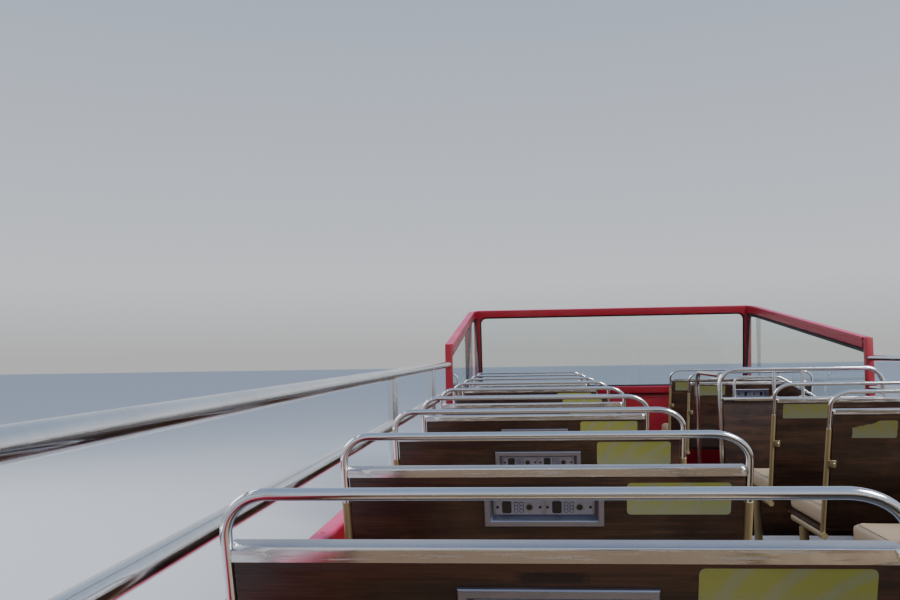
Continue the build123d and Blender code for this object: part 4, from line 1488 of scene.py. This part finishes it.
@dataclass
class Cushioning:
    """The padded pieces: seat cushions, back pads and the rear bench's pads."""

    shop: Workshop
    seats: TwinSeats
    voxel: float = 0.014
    shrink: float = 0.006
    swell: float = 0.007
    frames: int = 20
    pressure: float = 4.0
    stiffness: float = 30.0
    bending: float = 2.0
    rounding: float = 0.014
    crown: float = 0.004
    piping: float = 0.0042
    piping_inset: float = 0.016
    piping_corner: float = 0.030
    piping_pitch: float = 0.040
    crease: float = 0.0016
    # How deep a pad's sitting hollows are, and how far each of them reaches along X and Y
    seat_hollow: float = 0.007
    back_hollow: float = 0.004
    bench_hollow: float = 0.005
    hollow_reach: tuple[float, float] = (0.15, 0.14)
    back_thickness: float = 0.040
    back_trim: float = 0.012
    bench_parts: int = 5
    bench_gap: float = 0.002

    def puffed(self, name: str, size: Vector) -> Piece:
        """A vinyl pad swollen by a cloth simulation, its middle at the origin.

        Args:
            name: the shape's name.
            size: the pad's full size.

        Returns:
            The pad, within its size.
        """
        half = size / 2 - Vector((self.shrink,) * 3)
        pad = rounded_block(name, -half, half, self.rounding, 3)
        remesh = pad.modifiers.new("remesh", "REMESH")
        remesh.mode = "VOXEL"
        remesh.voxel_size = self.voxel
        apply_modifiers(pad)
        before = [v.co.copy() for v in pad.data.vertices]
        scene = bpy.context.scene
        old_range = (scene.frame_start, scene.frame_end)
        cloth = pad.modifiers.new("cloth", "CLOTH")
        cloth.settings.use_pressure = True
        cloth.settings.uniform_pressure_force = self.pressure
        cloth.settings.effector_weights.gravity = 0.0
        cloth.settings.tension_stiffness = self.stiffness
        cloth.settings.compression_stiffness = self.stiffness
        cloth.settings.bending_stiffness = self.bending
        cloth.point_cache.frame_end = self.frames
        scene.frame_end = self.frames
        for step in range(1, self.frames + 1):
            scene.frame_set(step)
        apply_modifiers(pad)
        scene.frame_set(1)
        scene.frame_start, scene.frame_end = old_range
        limit = size / 2
        for vert, start in zip(pad.data.vertices, before):
            push = vert.co - start
            if push.length > self.swell:
                push = push.normalized() * self.swell
            crown = max(0.0, 1 - (start.x / half.x) ** 4) * max(0.0, 1 - (start.y / half.y) ** 4)
            if start.z > 0:
                push.z += self.crown * crown
            moved = start + push
            vert.co = Vector([max(-limit[i], min(limit[i], moved[i])) for i in range(3)])
        pad.data.shade_smooth()
        return pad

    def worn(self, pad: Piece, seed: int, depth: float) -> Piece:
        """A copy of a pad with its own sitting hollows and creases.

        Args:
            pad: the pad to copy.
            seed: sets the hollows.
            depth: how deep the hollows are.

        Returns:
            The copy.
        """
        copy = bpy.data.objects.new(f"{pad.name}_{seed}", pad.data.copy())
        bpy.context.collection.objects.link(copy)
        draw = random.Random(seed)
        reach_x, reach_y = self.hollow_reach
        half = max(v.co.x for v in copy.data.vertices)
        spots = [(side * half * draw.uniform(0.42, 0.55), draw.uniform(-0.04, 0.03), draw.uniform(0.5, 1.0))
                 for side in (-1, 1)]
        for vert in copy.data.vertices:
            if vert.co.z <= 0:
                continue
            for x, y, part in spots:
                gap = ((vert.co.x - x) / reach_x) ** 2 + ((vert.co.y - y) / reach_y) ** 2
                vert.co.z -= depth * part * math.exp(-gap)
            crease = noise.noise(Vector((vert.co.x * 9 + seed, vert.co.y * 16, seed * 1.7)))
            vert.co.z += self.crease * crease - self.crease
        return copy

    def piping_route(self, pad: Piece, level: float) -> list[Vector]:
        """A closed route on a pad's upper edge, read from its surface.

        Args:
            pad: the pad, in its own space.
            level: the height that rays start from.

        Returns:
            The route's points.
        """
        radius = self.piping_corner
        x, y = (max(abs(v.co[i]) for v in pad.data.vertices) - self.piping_inset - radius for i in range(2))
        outline = []
        for sx, sy, first in ((1, -1, 270), (1, 1, 0), (-1, 1, 90), (-1, -1, 180)):
            outline += arc(sx * x, sy * y, radius, first, 4)
        outline.append(outline[0])
        route = []
        for (ax, ay), (bx, by) in zip(outline, outline[1:]):
            pieces = max(1, int(math.hypot(bx - ax, by - ay) / self.piping_pitch))
            for part in range(pieces):
                x, y = ax + (bx - ax) * part / pieces, ay + (by - ay) * part / pieces
                hit, place, _, _ = pad.ray_cast(Vector((x, y, level)), -UP)
                if hit:
                    route.append(place + UP * (self.piping * 0.2))
        return route + route[:1]

    def set_of(self, name: str, node: str, boxes: list[Box], turn: Matrix, size: Vector,
               depth: float) -> None:
        """A set of like pads with their piping, each with its own wear.

        Args:
            name: the set's name.
            node: the CAD node that it stands for.
            boxes: each pad's solid.
            turn: lays a pad's own Z outwards.
            size: a pad's size in its own space.
            depth: how deep its hollows are.
        """
        base = self.puffed(name, size)
        pads, routes = [], []
        for seed, box in enumerate(boxes):
            pad = self.worn(base, seed, depth)
            bpy.context.evaluated_depsgraph_get().update()
            move = Matrix.Translation(box.centre) @ turn
            routes.append([move @ point for point in self.piping_route(pad, size.z)])
            pads.append(move_mesh(pad, move))
        bpy.data.objects.remove(base)
        finishes = self.shop.finishes
        piece = finish_piece(joined(name, pads), finishes.vinyl, node)
        piece.data.shade_smooth()
        self.shop.finished_tubes(f"{name}_piping", routes, self.piping / 2, finishes.piping, sides=8)

    def back_size(self, width: float, tall: float) -> Vector:
        """A back pad's size in its own space, from its raked solid's width and height."""
        rake = self.seats.sizes.rake
        height = (tall - self.back_thickness * math.sin(rake)) / math.cos(rake)
        return Vector((width, height - self.back_trim, self.back_thickness))

    def build(self) -> None:
        """Makes the seats' cushions and back pads and the bench's pads."""
        level = Matrix.Identity(4)
        # A back pad's own Z looks forward along the raked back's normal
        upright = Matrix.Rotation(self.seats.sizes.rake, 4, "X") @ Matrix.Rotation(math.radians(-90), 4, "X")
        cushions, backs = solids_of("seat_cushions"), solids_of("seat_back_pads")
        self.set_of("seat_pads", "seat_cushions", cushions, level, cushions[0].size, self.seat_hollow)
        back = backs[0].size
        self.set_of("back_pads", "seat_back_pads", backs, upright, self.back_size(back.x, back.z),
                    self.back_hollow)
        for name, node, turn in (("bench_pads", "bench_cushion", level),
                                 ("bench_back_pads", "bench_back_pad", upright)):
            whole = solids_of(node)[0]
            step = whole.size.x / self.bench_parts
            parts = []
            for index in range(self.bench_parts):
                low = Vector((whole.low.x + index * step, whole.low.y, whole.low.z))
                parts.append(Box(low, Vector((low.x + step, whole.high.y, whole.high.z))))
            width = step - self.bench_gap
            size = Vector((width, whole.size.y, whole.size.z))
            if turn is upright:
                size = self.back_size(width, size.z)
            self.set_of(name, node, parts, turn, size, self.bench_hollow)


@dataclass
class Railings:
    """The polished rails with their posts and round feet."""

    shop: Workshop
    radius: float = 0.021
    bend: float = 0.150
    post_radius: float = 0.016
    # How far a post runs up into the tube above it
    post_sink: float = 0.004
    # Posts further out than this stand along a side
    side_from: float = 1.0
    # A post whose foot is nearer than this to the capping's top stands on it
    stand_within: float = 0.010
    foot_radius: float = 0.021
    foot_height: float = 0.006
    # The photo's rails are slimmer and lower than the CAD ones: the tube's radius and how far each axis sinks
    tube_radius: float = 0.018
    upper_sink: float = 0.003
    lower_sink: float = 0.009
    # The rearmost side posts stand further back, where the photo's view leaves them out
    rear_shift: float = 0.270

    def build(self) -> None:
        """Makes both rails all round, the posts and their round feet."""
        polished = self.shop.finishes.polished
        for level, sink in (("upper", self.upper_sink), ("lower", self.lower_sink)):
            sides = solids_of(f"{level}_rail_sides")
            low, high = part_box(f"{level}_rail_rear")
            left, right, rear = low.x + self.radius, high.x - self.radius, low.y + self.radius
            front, height = sides[0].high.y, (low.z + high.z) / 2 - sink
            corners = ((left, front), (left, rear), (right, rear), (right, front))
            route = [Vector((x, y, height)) for x, y in corners]
            self.shop.finished_tubes(f"{level}_rail", [route], self.tube_radius, polished,
                                     f"{level}_rail_sides", f"{level}_rail_rear", bend=self.bend, steps=14,
                                     sides=28)
        posts, feet = [], []
        cap_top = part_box("body_capping_sides")[1].z
        solids = solids_of("rail_posts")
        rearmost = min(box.centre.y for box in solids if abs(box.centre.x) > self.side_from)
        for box in solids:
            x, y = box.centre.x, box.centre.y
            if abs(x) > self.side_from and y < rearmost + self.post_radius:
                y -= self.rear_shift
            stands = box.low.z < cap_top + self.stand_within
            foot = Vector((x, y, box.low.z if stands else box.low.z - 2 * self.lower_sink))
            posts.append([foot, Vector((x, y, box.high.z + self.post_sink))])
            if stands:
                feet.append([foot, foot + UP * self.foot_height])
        self.shop.finished_tubes("rail_posts_round", posts, self.post_radius, polished, "rail_posts",
                                 sharp_ends=True, sides=24)
        self.shop.finished_tubes("post_feet", feet, self.foot_radius, self.shop.finishes.worn,
                                 sharp_ends=True, sides=28)


@dataclass
class Softened:
    """CAD nodes kept in their shape, with their sharp edges rounded."""

    shop: Workshop
    board_reach: float = 0.0072
    # Edges sharper than the first angle are rounded, and faces flatter than the second one are joined
    sharp: float = math.radians(40)
    flat: float = math.radians(1.0)

    def soften(self, node: str, coat: Coat, width: float, widen: float = 0.0) -> None:
        """Replaces a node by a copy with rounded edges.

        Args:
            node: the CAD node's name.
            coat: its material and slot.
            width: the radius of its edges.
            widen: how far each solid's ends along X move out.
        """
        mesh = bmesh.new()
        mesh.from_mesh(frame["nodes"][node].data)
        bmesh.ops.remove_doubles(mesh, verts=mesh.verts, dist=MERGE)
        bmesh.ops.dissolve_limit(mesh, angle_limit=self.flat, verts=mesh.verts, edges=mesh.edges)
        sharp = [edge for edge in mesh.edges
                 if len(edge.link_faces) == 2 and edge.calc_face_angle(0.0) > self.sharp]
        ends = [(box.low.x, box.high.x) for box in solids_of(node)] if widen else []
        for vert in mesh.verts:
            for low, high in ends:
                if min(abs(vert.co.x - low), abs(vert.co.x - high)) < MERGE:
                    vert.co.x += widen if abs(vert.co.x - high) < MERGE else -widen
                    break
        bmesh.ops.bevel(mesh, geom=sharp, offset=width, segments=2, affect="EDGES", profile=0.5,
                        clamp_overlap=True)
        made = mesh_object(node + "_softened", [], [])
        mesh.to_mesh(made.data)
        mesh.free()
        finish_piece(made, coat, node, sharp=38)

    def build(self) -> None:
        """Rounds the boards, pans, brackets, bench, guard plates, wing posts and bearers."""
        f = self.shop.finishes
        self.soften("seat_back_boards", f.wood, 0.0012, self.board_reach)
        # Each node: its finish and the radius of its edges
        table = {
            "seat_pans": (f.wood, 0.0015),
            "seat_wall_brackets": (f.tan_paint, 0.002),
            "bench_back_board": (f.wood, 0.0012),
            "bench_pan": (f.wood, 0.0015),
            "bench_capping": (f.worn, 0.003),
            "bench_supports": (f.tan_paint, 0.003),
            "stair_guard_board": (f.wood, 0.002),
            "stair_guard_capping": (f.worn, 0.003),
            "wing_posts": (f.red, 0.005),
            "wing_gaskets": (f.rubber, 0.003),
            "floor_bearers": (f.underframe, 0.004),
        }
        for node, (coat, width) in table.items():
            self.soften(node, coat, width)


@dataclass
class Body:
    """The red walls with their rolled capping, and the ribbed floor."""

    shop: Workshop
    corner: float = 0.170
    wall: float = 0.050
    taper: float = math.radians(1.0)
    steps: int = 18
    cap_roll: float = 0.014
    rivet_pitch: float = 0.300
    # A rivet head's radius and height
    rivet_head: tuple[float, float] = (0.006, 0.002)
    rib_pitch: float = 0.020
    rib_width: float = 0.009
    rib_height: float = 0.0022
    rib_stop: float = 0.100
    # The stairwell's edges along X, from the ends of the guard's rear rail
    well_inset: float = 0.053
    well_reach: float = 0.005
    nosing_width: float = 0.030
    nosing_height: float = 0.003
    nosing_edge: float = 0.001

    def build_walls(self) -> None:
        """Makes the tapered walls as one skin with round corners."""
        half_x, half_y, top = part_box("body_panel_front")[1]
        inset = top * math.tan(self.taper)
        # Each loop: inset from the outside, radius of its corners, height
        rings = [(0.0, self.corner, 0.0), (inset, self.corner - inset, top),
                 (self.wall, self.corner - self.wall, top), (self.wall, self.corner - self.wall, 0.0)]
        loops = [[(x, y, z) for x, y in rounded_plan(half_x - gap, half_y - gap, radius, self.steps)]
                 for gap, radius, z in rings]
        walls = looped("body_walls", loops)
        finish_piece(walls, self.shop.finishes.red, "body_panel_left", "body_panel_right", "body_panel_front",
                     "body_panel_rear", sharp=30)

    def build_capping(self) -> None:
        """Rolls the capping round the top of the walls and rivets it."""
        low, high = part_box("body_capping_ends")
        inner = solids_of("body_capping_sides")[0].high.x
        width = high.x - abs(inner)
        outside = self.corner - (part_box("body_panel_front")[1].x - high.x)
        section = rolled_section(width, high.z - low.z, self.cap_roll, (False, False, True, True))
        loops = []
        for across, up in section:
            plan = rounded_plan(high.x - across, high.y - across, outside - across, self.steps)
            loops.append([(x, y, low.z + up) for x, y in plan])
        cap = looped("body_cap", loops)
        finish_piece(cap, self.shop.finishes.red, "body_capping_sides", "body_capping_ends", sharp=30)
        line = high.x - width / 2
        count = int(2 * (high.y - self.corner) / self.rivet_pitch)
        rivets = [(Vector((side * line, (n + 0.5 - count / 2) * self.rivet_pitch, high.z)), UP)
                  for side in (-1, 1) for n in range(count)]
        self.shop.finished_heads("cap_rivets", rivets, *self.rivet_head, self.shop.finishes.red)

    def build_floor(self) -> None:
        """Lays ribs along the aisle and metal nosings round the stairwell."""
        f = self.shop.finishes
        for node in ("deck_floor_rear", "deck_floor_middle", "deck_floor_front"):
            paint_node(node, f.floor)
        low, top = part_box("deck_floor_middle")
        edges = [(box.low.x, box.high.x) for box in solids_of("seat_foot_plates")]
        left = max(last for _, last in edges if last < 0)
        right = min(first for first, _ in edges if first > 0)
        rear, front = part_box("bench_cushion")[1].y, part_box("deck_floor_front")[1].y - self.rib_stop
        count = int((right - left) / self.rib_pitch)
        first = Vector((left + ((right - left) - (count - 1) * self.rib_pitch) / 2, (rear + front) / 2,
                        top.z + self.rib_height / 2))
        ribs = self.shop.ribs.run(mesh_object("floor_ribs", [first], []), f.floor, Count=count,
                                  Pitch=self.rib_pitch, Width=self.rib_width, Length=front - rear,
                                  Height=self.rib_height)
        finish_piece(ribs, f.floor)
        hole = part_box("stair_guard_rear_rail")
        left, right, wide = hole[0].x + self.well_inset, hole[1].x + self.well_reach, self.nosing_width
        # Nosings: lowest and highest X and Y
        strips = [(left - wide, right, low.y - wide, low.y), (left - wide, right, top.y, top.y + wide),
                  (left - wide, left, low.y, top.y)]
        crest = top.z + self.nosing_height
        nosings = [rounded_block("nosing", Vector((x0, y0, top.z)), Vector((x1, y1, crest)),
                                 self.nosing_edge, 2) for x0, x1, y0, y1 in strips]
        finish_piece(joined("stair_nosings", nosings), f.aluminium)

    def build(self) -> None:
        """Builds the walls, the capping and the floor."""
        self.build_walls()
        self.build_capping()
        self.build_floor()


@dataclass
class Screen:
    """The raked windscreen and the wings that fall from its corners."""

    shop: Workshop
    rake: float = math.radians(8.0)
    bar: float = 0.062
    depth: float = 0.050
    outer_radius: float = 0.030
    inner_radius: float = 0.060
    roll: float = 0.005
    gasket: float = 0.014
    gasket_depth: float = 0.020
    glass: float = 0.008
    seat: float = 0.006
    steps: int = 10
    beam_width: float = 0.050
    beam_height: float = 0.068
    turn: float = 0.110
    turn_radius: float = 0.080
    # The black lip's height is partly the real seal and partly painted shade under the beam
    lip: float = 0.030
    lip_roll: float = 0.004
    groove_depth: float = 0.004
    groove_height: float = 0.009
    groove_drop: float = 0.024
    overlap: float = 0.001

    @property
    def tall(self) -> float:
        """The windscreen's height along its own plane."""
        low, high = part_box("windscreen_frame")
        return (high.z - self.depth / 2 * math.sin(self.rake) - low.z) / math.cos(self.rake)

    def ring(self, name: str, inset: float, width: float, depth: float) -> Piece:
        """A ring of the windscreen, its section rolled at every corner.

        Args:
            name: the ring's name.
            inset: from the frame's outside to the ring's.
            width: the ring's width in the windscreen's plane.
            depth: its depth.

        Returns:
            The ring in its place.
        """
        reach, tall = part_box("windscreen_frame")[1].x, self.tall
        section = rolled_section(width, depth, self.roll, (True,) * 4)
        loops = []
        for across, out in section:
            gap = inset + across
            radius = self.outer_radius + (self.inner_radius - self.outer_radius) * min(1.0, gap / self.bar)
            radius -= max(0.0, gap - self.bar)
            plan = rounded_plan(reach - gap, tall / 2 - gap, radius, self.steps)
            loops.append([(x, out - depth / 2, z - tall / 2) for x, z in plan])
        made = looped(name, loops)
        smooth(made, 35)
        return self.placed(made)

    def placed(self, piece: Piece) -> Piece:
        """Leans a piece back about the windscreen's top and puts it in its place."""
        low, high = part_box("windscreen_frame")
        top = Vector((0, low.y + self.depth / 2 * math.cos(self.rake),
                      high.z - self.depth / 2 * math.sin(self.rake)))
        return move_mesh(piece, Matrix.Translation(top) @ Matrix.Rotation(self.rake, 4, "X"))

    def build_screen(self) -> None:
        """Makes the windscreen's frame, gasket and glass."""
        f = self.shop.finishes
        outer = self.ring("screen_frame", 0.0, self.bar, self.depth)
        finish_piece(outer, f.red, "windscreen_frame")
        seal = self.ring("screen_gasket", self.bar - self.overlap, self.gasket, self.gasket_depth)
        finish_piece(seal, f.rubber, "windscreen_gasket")
        reach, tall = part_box("windscreen_frame")[1].x, self.tall
        gap, radius = self.bar + self.gasket - self.seat, self.inner_radius - self.gasket + self.seat
        plan = rounded_plan(reach - gap, tall / 2 - gap, radius, self.steps)
        loops = [[(x, y, z - tall / 2) for x, z in plan] for y in (-self.glass / 2, self.glass / 2)]
        pane = looped("screen_glass", loops, closed=False)
        smooth(pane, 35)
        finish_piece(self.placed(pane), f.glass, "windscreen_glass")

    def beam_section(self) -> Outline:
        """The wing beam's section: rolled corners and a groove in each side."""
        width, height = self.beam_width / 2, self.beam_height / 2
        high = height - self.groove_drop
        low, deep = high - self.groove_height, width - self.groove_depth
        outline = rolled_section(2 * width, 2 * height, self.roll, (True,) * 4)
        section = [(x - width, z - height) for x, z in outline]
        right = [(width, low), (deep, low), (deep, high), (width, high)]
        left = [(-width, high), (-deep, high), (-deep, low), (-width, low)]
        half = len(section) // 2
        return section[:half] + right + section[half:] + left

    def build_wings(self) -> None:
        """Sweeps the wing beams, with a black rubber lip below that is partly the real seal and partly
        painted shade under the beam, down from the windscreen to their posts.
        """
        f = self.shop.finishes
        low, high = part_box("windscreen_frame")
        screen_x, screen_y = high.x - self.bar / 2, low.y + self.depth / 2 * math.cos(self.rake)
        posts = solids_of("wing_posts")
        rear_y = posts[0].centre.y
        # The black lip: partly the real seal, partly painted shade under the beam
        lip = rolled_section(self.gasket_depth, self.lip, self.lip_roll, (True, True, False, False))
        lip = [(u - self.gasket_depth / 2, v - self.beam_height / 2 - self.lip + self.overlap)
               for u, v in lip]
        top, foot = (z - self.beam_height / 2 for z in (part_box("wing_beams")[1].z, posts[0].high.z))
        # Pieces: name, section, finish, what they replace
        for name, section, coat, *nodes in (("wing_beams_round", self.beam_section(), f.red, "wing_beams"),
                                            ("wing_seals", lip, f.rubber)):
            pieces = []
            for post in posts:
                x = post.centre.x
                corner = Vector((math.copysign(screen_x, x), screen_y, 0))
                plan = bent([corner, Vector((x, screen_y - self.turn, 0)), Vector((x, post.high.y, 0))],
                            self.turn_radius, self.steps)
                loops = []
                for index, spot in enumerate(plan):
                    ahead = plan[min(index + 1, len(plan) - 1)] - plan[max(index - 1, 0)]
                    across = Vector((ahead.y, -ahead.x, 0)).normalized()
                    middle = foot + (top - foot) * (spot.y - rear_y) / (screen_y - rear_y)
                    loops.append([tuple(spot + across * u + Vector((0, 0, middle + v))) for u, v in section])
                pieces.append(looped("sweep", loops, closed=False))
            finish_piece(joined(name, pieces), coat, *nodes, sharp=35)
        paint_node("wing_glasses", f.glass)

    def build(self) -> None:
        """Builds the windscreen and both wings."""
        self.build_screen()
        self.build_wings()


@dataclass
class StairGuard:
    """The rails, posts and loop of tube round the stairwell's rear."""

    shop: Workshop
    tube: float = 0.026
    bend: float = 0.090
    post: float = 0.020
    flange_height: float = 0.005
    # How far a post runs up into its rail
    post_sink: float = 0.003
    # A solid at least this wide is the loop, and a narrower one a post
    loop_from: float = 0.100
    loop_tube: float = 0.016
    loop_bend: float = 0.040
    loop_run: float = 0.245

    def build(self) -> None:
        """Bends the guard's tubes and stands its posts on their flanges."""
        shop, polished = self.shop, self.shop.finishes.polished
        radius = self.tube / 2
        low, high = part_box("stair_guard_rear_rail")
        y, left, right, top = (low.y + high.y) / 2, low.x + radius, high.x - radius, high.z - radius
        rear = [Vector((x, y, z)) for x, z in ((left, low.z), (left, top), (right, top), (right, low.z))]
        low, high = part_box("stair_guard_side_rail")
        x, top = (low.x + high.x) / 2, high.z - radius
        end = high.y - radius
        side = [Vector((x, low.y, top)), Vector((x, end, top)), Vector((x, end, low.z))]
        shop.finished_tubes("guard_rails", [rear, side], radius, polished, "stair_guard_rear_rail",
                            "stair_guard_side_rail", sharp_ends=True, bend=self.bend, steps=12)
        pieces = []
        for box in solids_of("stair_guard_posts"):
            foot = Vector((box.centre.x, box.centre.y, box.low.z))
            if box.size.x < self.loop_from:
                top = Vector((foot.x, foot.y, box.high.z + self.post_sink))
                pieces.append(shop.tube_piece("post", [[foot, top]], self.post / 2, polished, sides=18))
                collar = [foot, foot + UP * self.flange_height]
                pieces.append(shop.tube_piece("flange", [collar], box.size.x / 2, polished, sides=24))
                continue
            radius = self.loop_tube / 2
            left, right, top = box.low.x + radius, box.high.x - radius, box.high.z - radius
            corners = ((left, foot.z), (left, top), (left + self.loop_run, top), (right, foot.z))
            route = [Vector((x, foot.y, z)) for x, z in corners]
            pieces.append(shop.tube_piece("loop", [route], radius, polished, self.loop_bend, 10, 16))
        finish_piece(joined("guard_posts", pieces), polished, "stair_guard_posts", sharp=40)


@dataclass
class Studio:
    """The pale floor, the soft lights and the camera at the rider's eye."""

    eye: Point = (-0.7898, -3.3858, 1.1812)
    yaw: float = math.radians(4.854)
    pitch: float = math.radians(3.50)
    roll: float = math.radians(-0.95)
    focal_pixels: float = 850.2
    frame_width: float = 900.0
    sensor: float = 36.0

    def build_camera(self) -> None:
        """Places the camera where the photograph was taken."""
        data = bpy.data.cameras.new("rider")
        data.sensor_width = self.sensor
        data.lens = self.focal_pixels / self.frame_width * self.sensor
        data.clip_start = 0.02
        camera = bpy.data.objects.new("rider", data)
        bpy.context.collection.objects.link(camera)
        ahead = Vector((-math.sin(self.yaw) * math.cos(self.pitch), math.cos(self.yaw) * math.cos(self.pitch),
                        math.sin(self.pitch)))
        right = Vector((math.cos(self.yaw), math.sin(self.yaw), 0.0))
        up = right.cross(ahead)
        across = right * math.cos(self.roll) + up * math.sin(self.roll)
        upward = -right * math.sin(self.roll) + up * math.cos(self.roll)
        turn = Matrix((across, upward, -ahead)).transposed()
        camera.matrix_world = Matrix.Translation(self.eye) @ turn.to_4x4()
        bpy.context.scene.camera = camera

    def build_floor(self) -> None:
        """Lays the plain pale floor."""
        reach = 60.0
        floor = mesh_object("studio_floor", [(-reach, -reach, 0), (reach, -reach, 0), (reach, reach, 0),
                                             (-reach, reach, 0)], [(0, 1, 2, 3)])
        material = bpy.data.materials.new("pale_floor")
        material.use_nodes = True
        main = material.node_tree.nodes["Principled BSDF"]
        Shader(material.node_tree).feed(main, Base_Color=(0.72, 0.72, 0.71, 1), Roughness=0.8)
        floor.data.materials.append(material)

    def build_lights(self) -> None:
        """Hangs the soft lights and the pale surround."""
        world = bpy.data.worlds.new("surround")
        bpy.context.scene.world = world
        world.use_nodes = True
        shader = Shader(world.node_tree)
        height = shader.split(shader.add("ShaderNodeTexCoord").outputs["Generated"])["Z"]
        # Surround: height from the horizon up, and its colour
        sky = shader.ramp(height, [(0.0, (0.60, 0.60, 0.60, 1)), (0.08, (0.80, 0.83, 0.88, 1)),
                                   (0.5, (0.42, 0.52, 0.70, 1)), (1.0, (0.30, 0.40, 0.62, 1))])
        shader.feed(world.node_tree.nodes["Background"], Color=sky, Strength=0.9)
        # Lights: name, place, aim, width, power
        lamps = [("key", (6.0, -4.0, 7.5), (0.0, 0.5, 0.8), 3.0, 900.0),
                 ("fill", (-7.0, 2.0, 5.0), (0.0, 0.5, 0.8), 5.0, 260.0)]
        for name, place, aim, width, power in lamps:
            data = bpy.data.lights.new(name, "AREA")
            data.size = width
            data.energy = power
            lamp = bpy.data.objects.new(name, data)
            bpy.context.collection.objects.link(lamp)
            lamp.location = place
            lamp.rotation_mode = "QUATERNION"
            lamp.rotation_quaternion = (Vector(aim) - Vector(place)).to_track_quat("-Z", "Y")

    def build(self) -> None:
        """Sets up the whole studio."""
        self.build_camera()
        self.build_floor()
        self.build_lights()


def main() -> None:
    studio = Studio()
    studio.build()
    shop = Workshop()
    Softened(shop).build()
    Body(shop).build()
    Screen(shop).build()
    StairGuard(shop).build()
    seats = TwinSeats(shop)
    LOG.info("seats: %d", len(seats.places))
    seats.build()
    Cushioning(shop, seats).build()
    Railings(shop).build()
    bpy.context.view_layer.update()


if __name__ == "__main__":
    main()
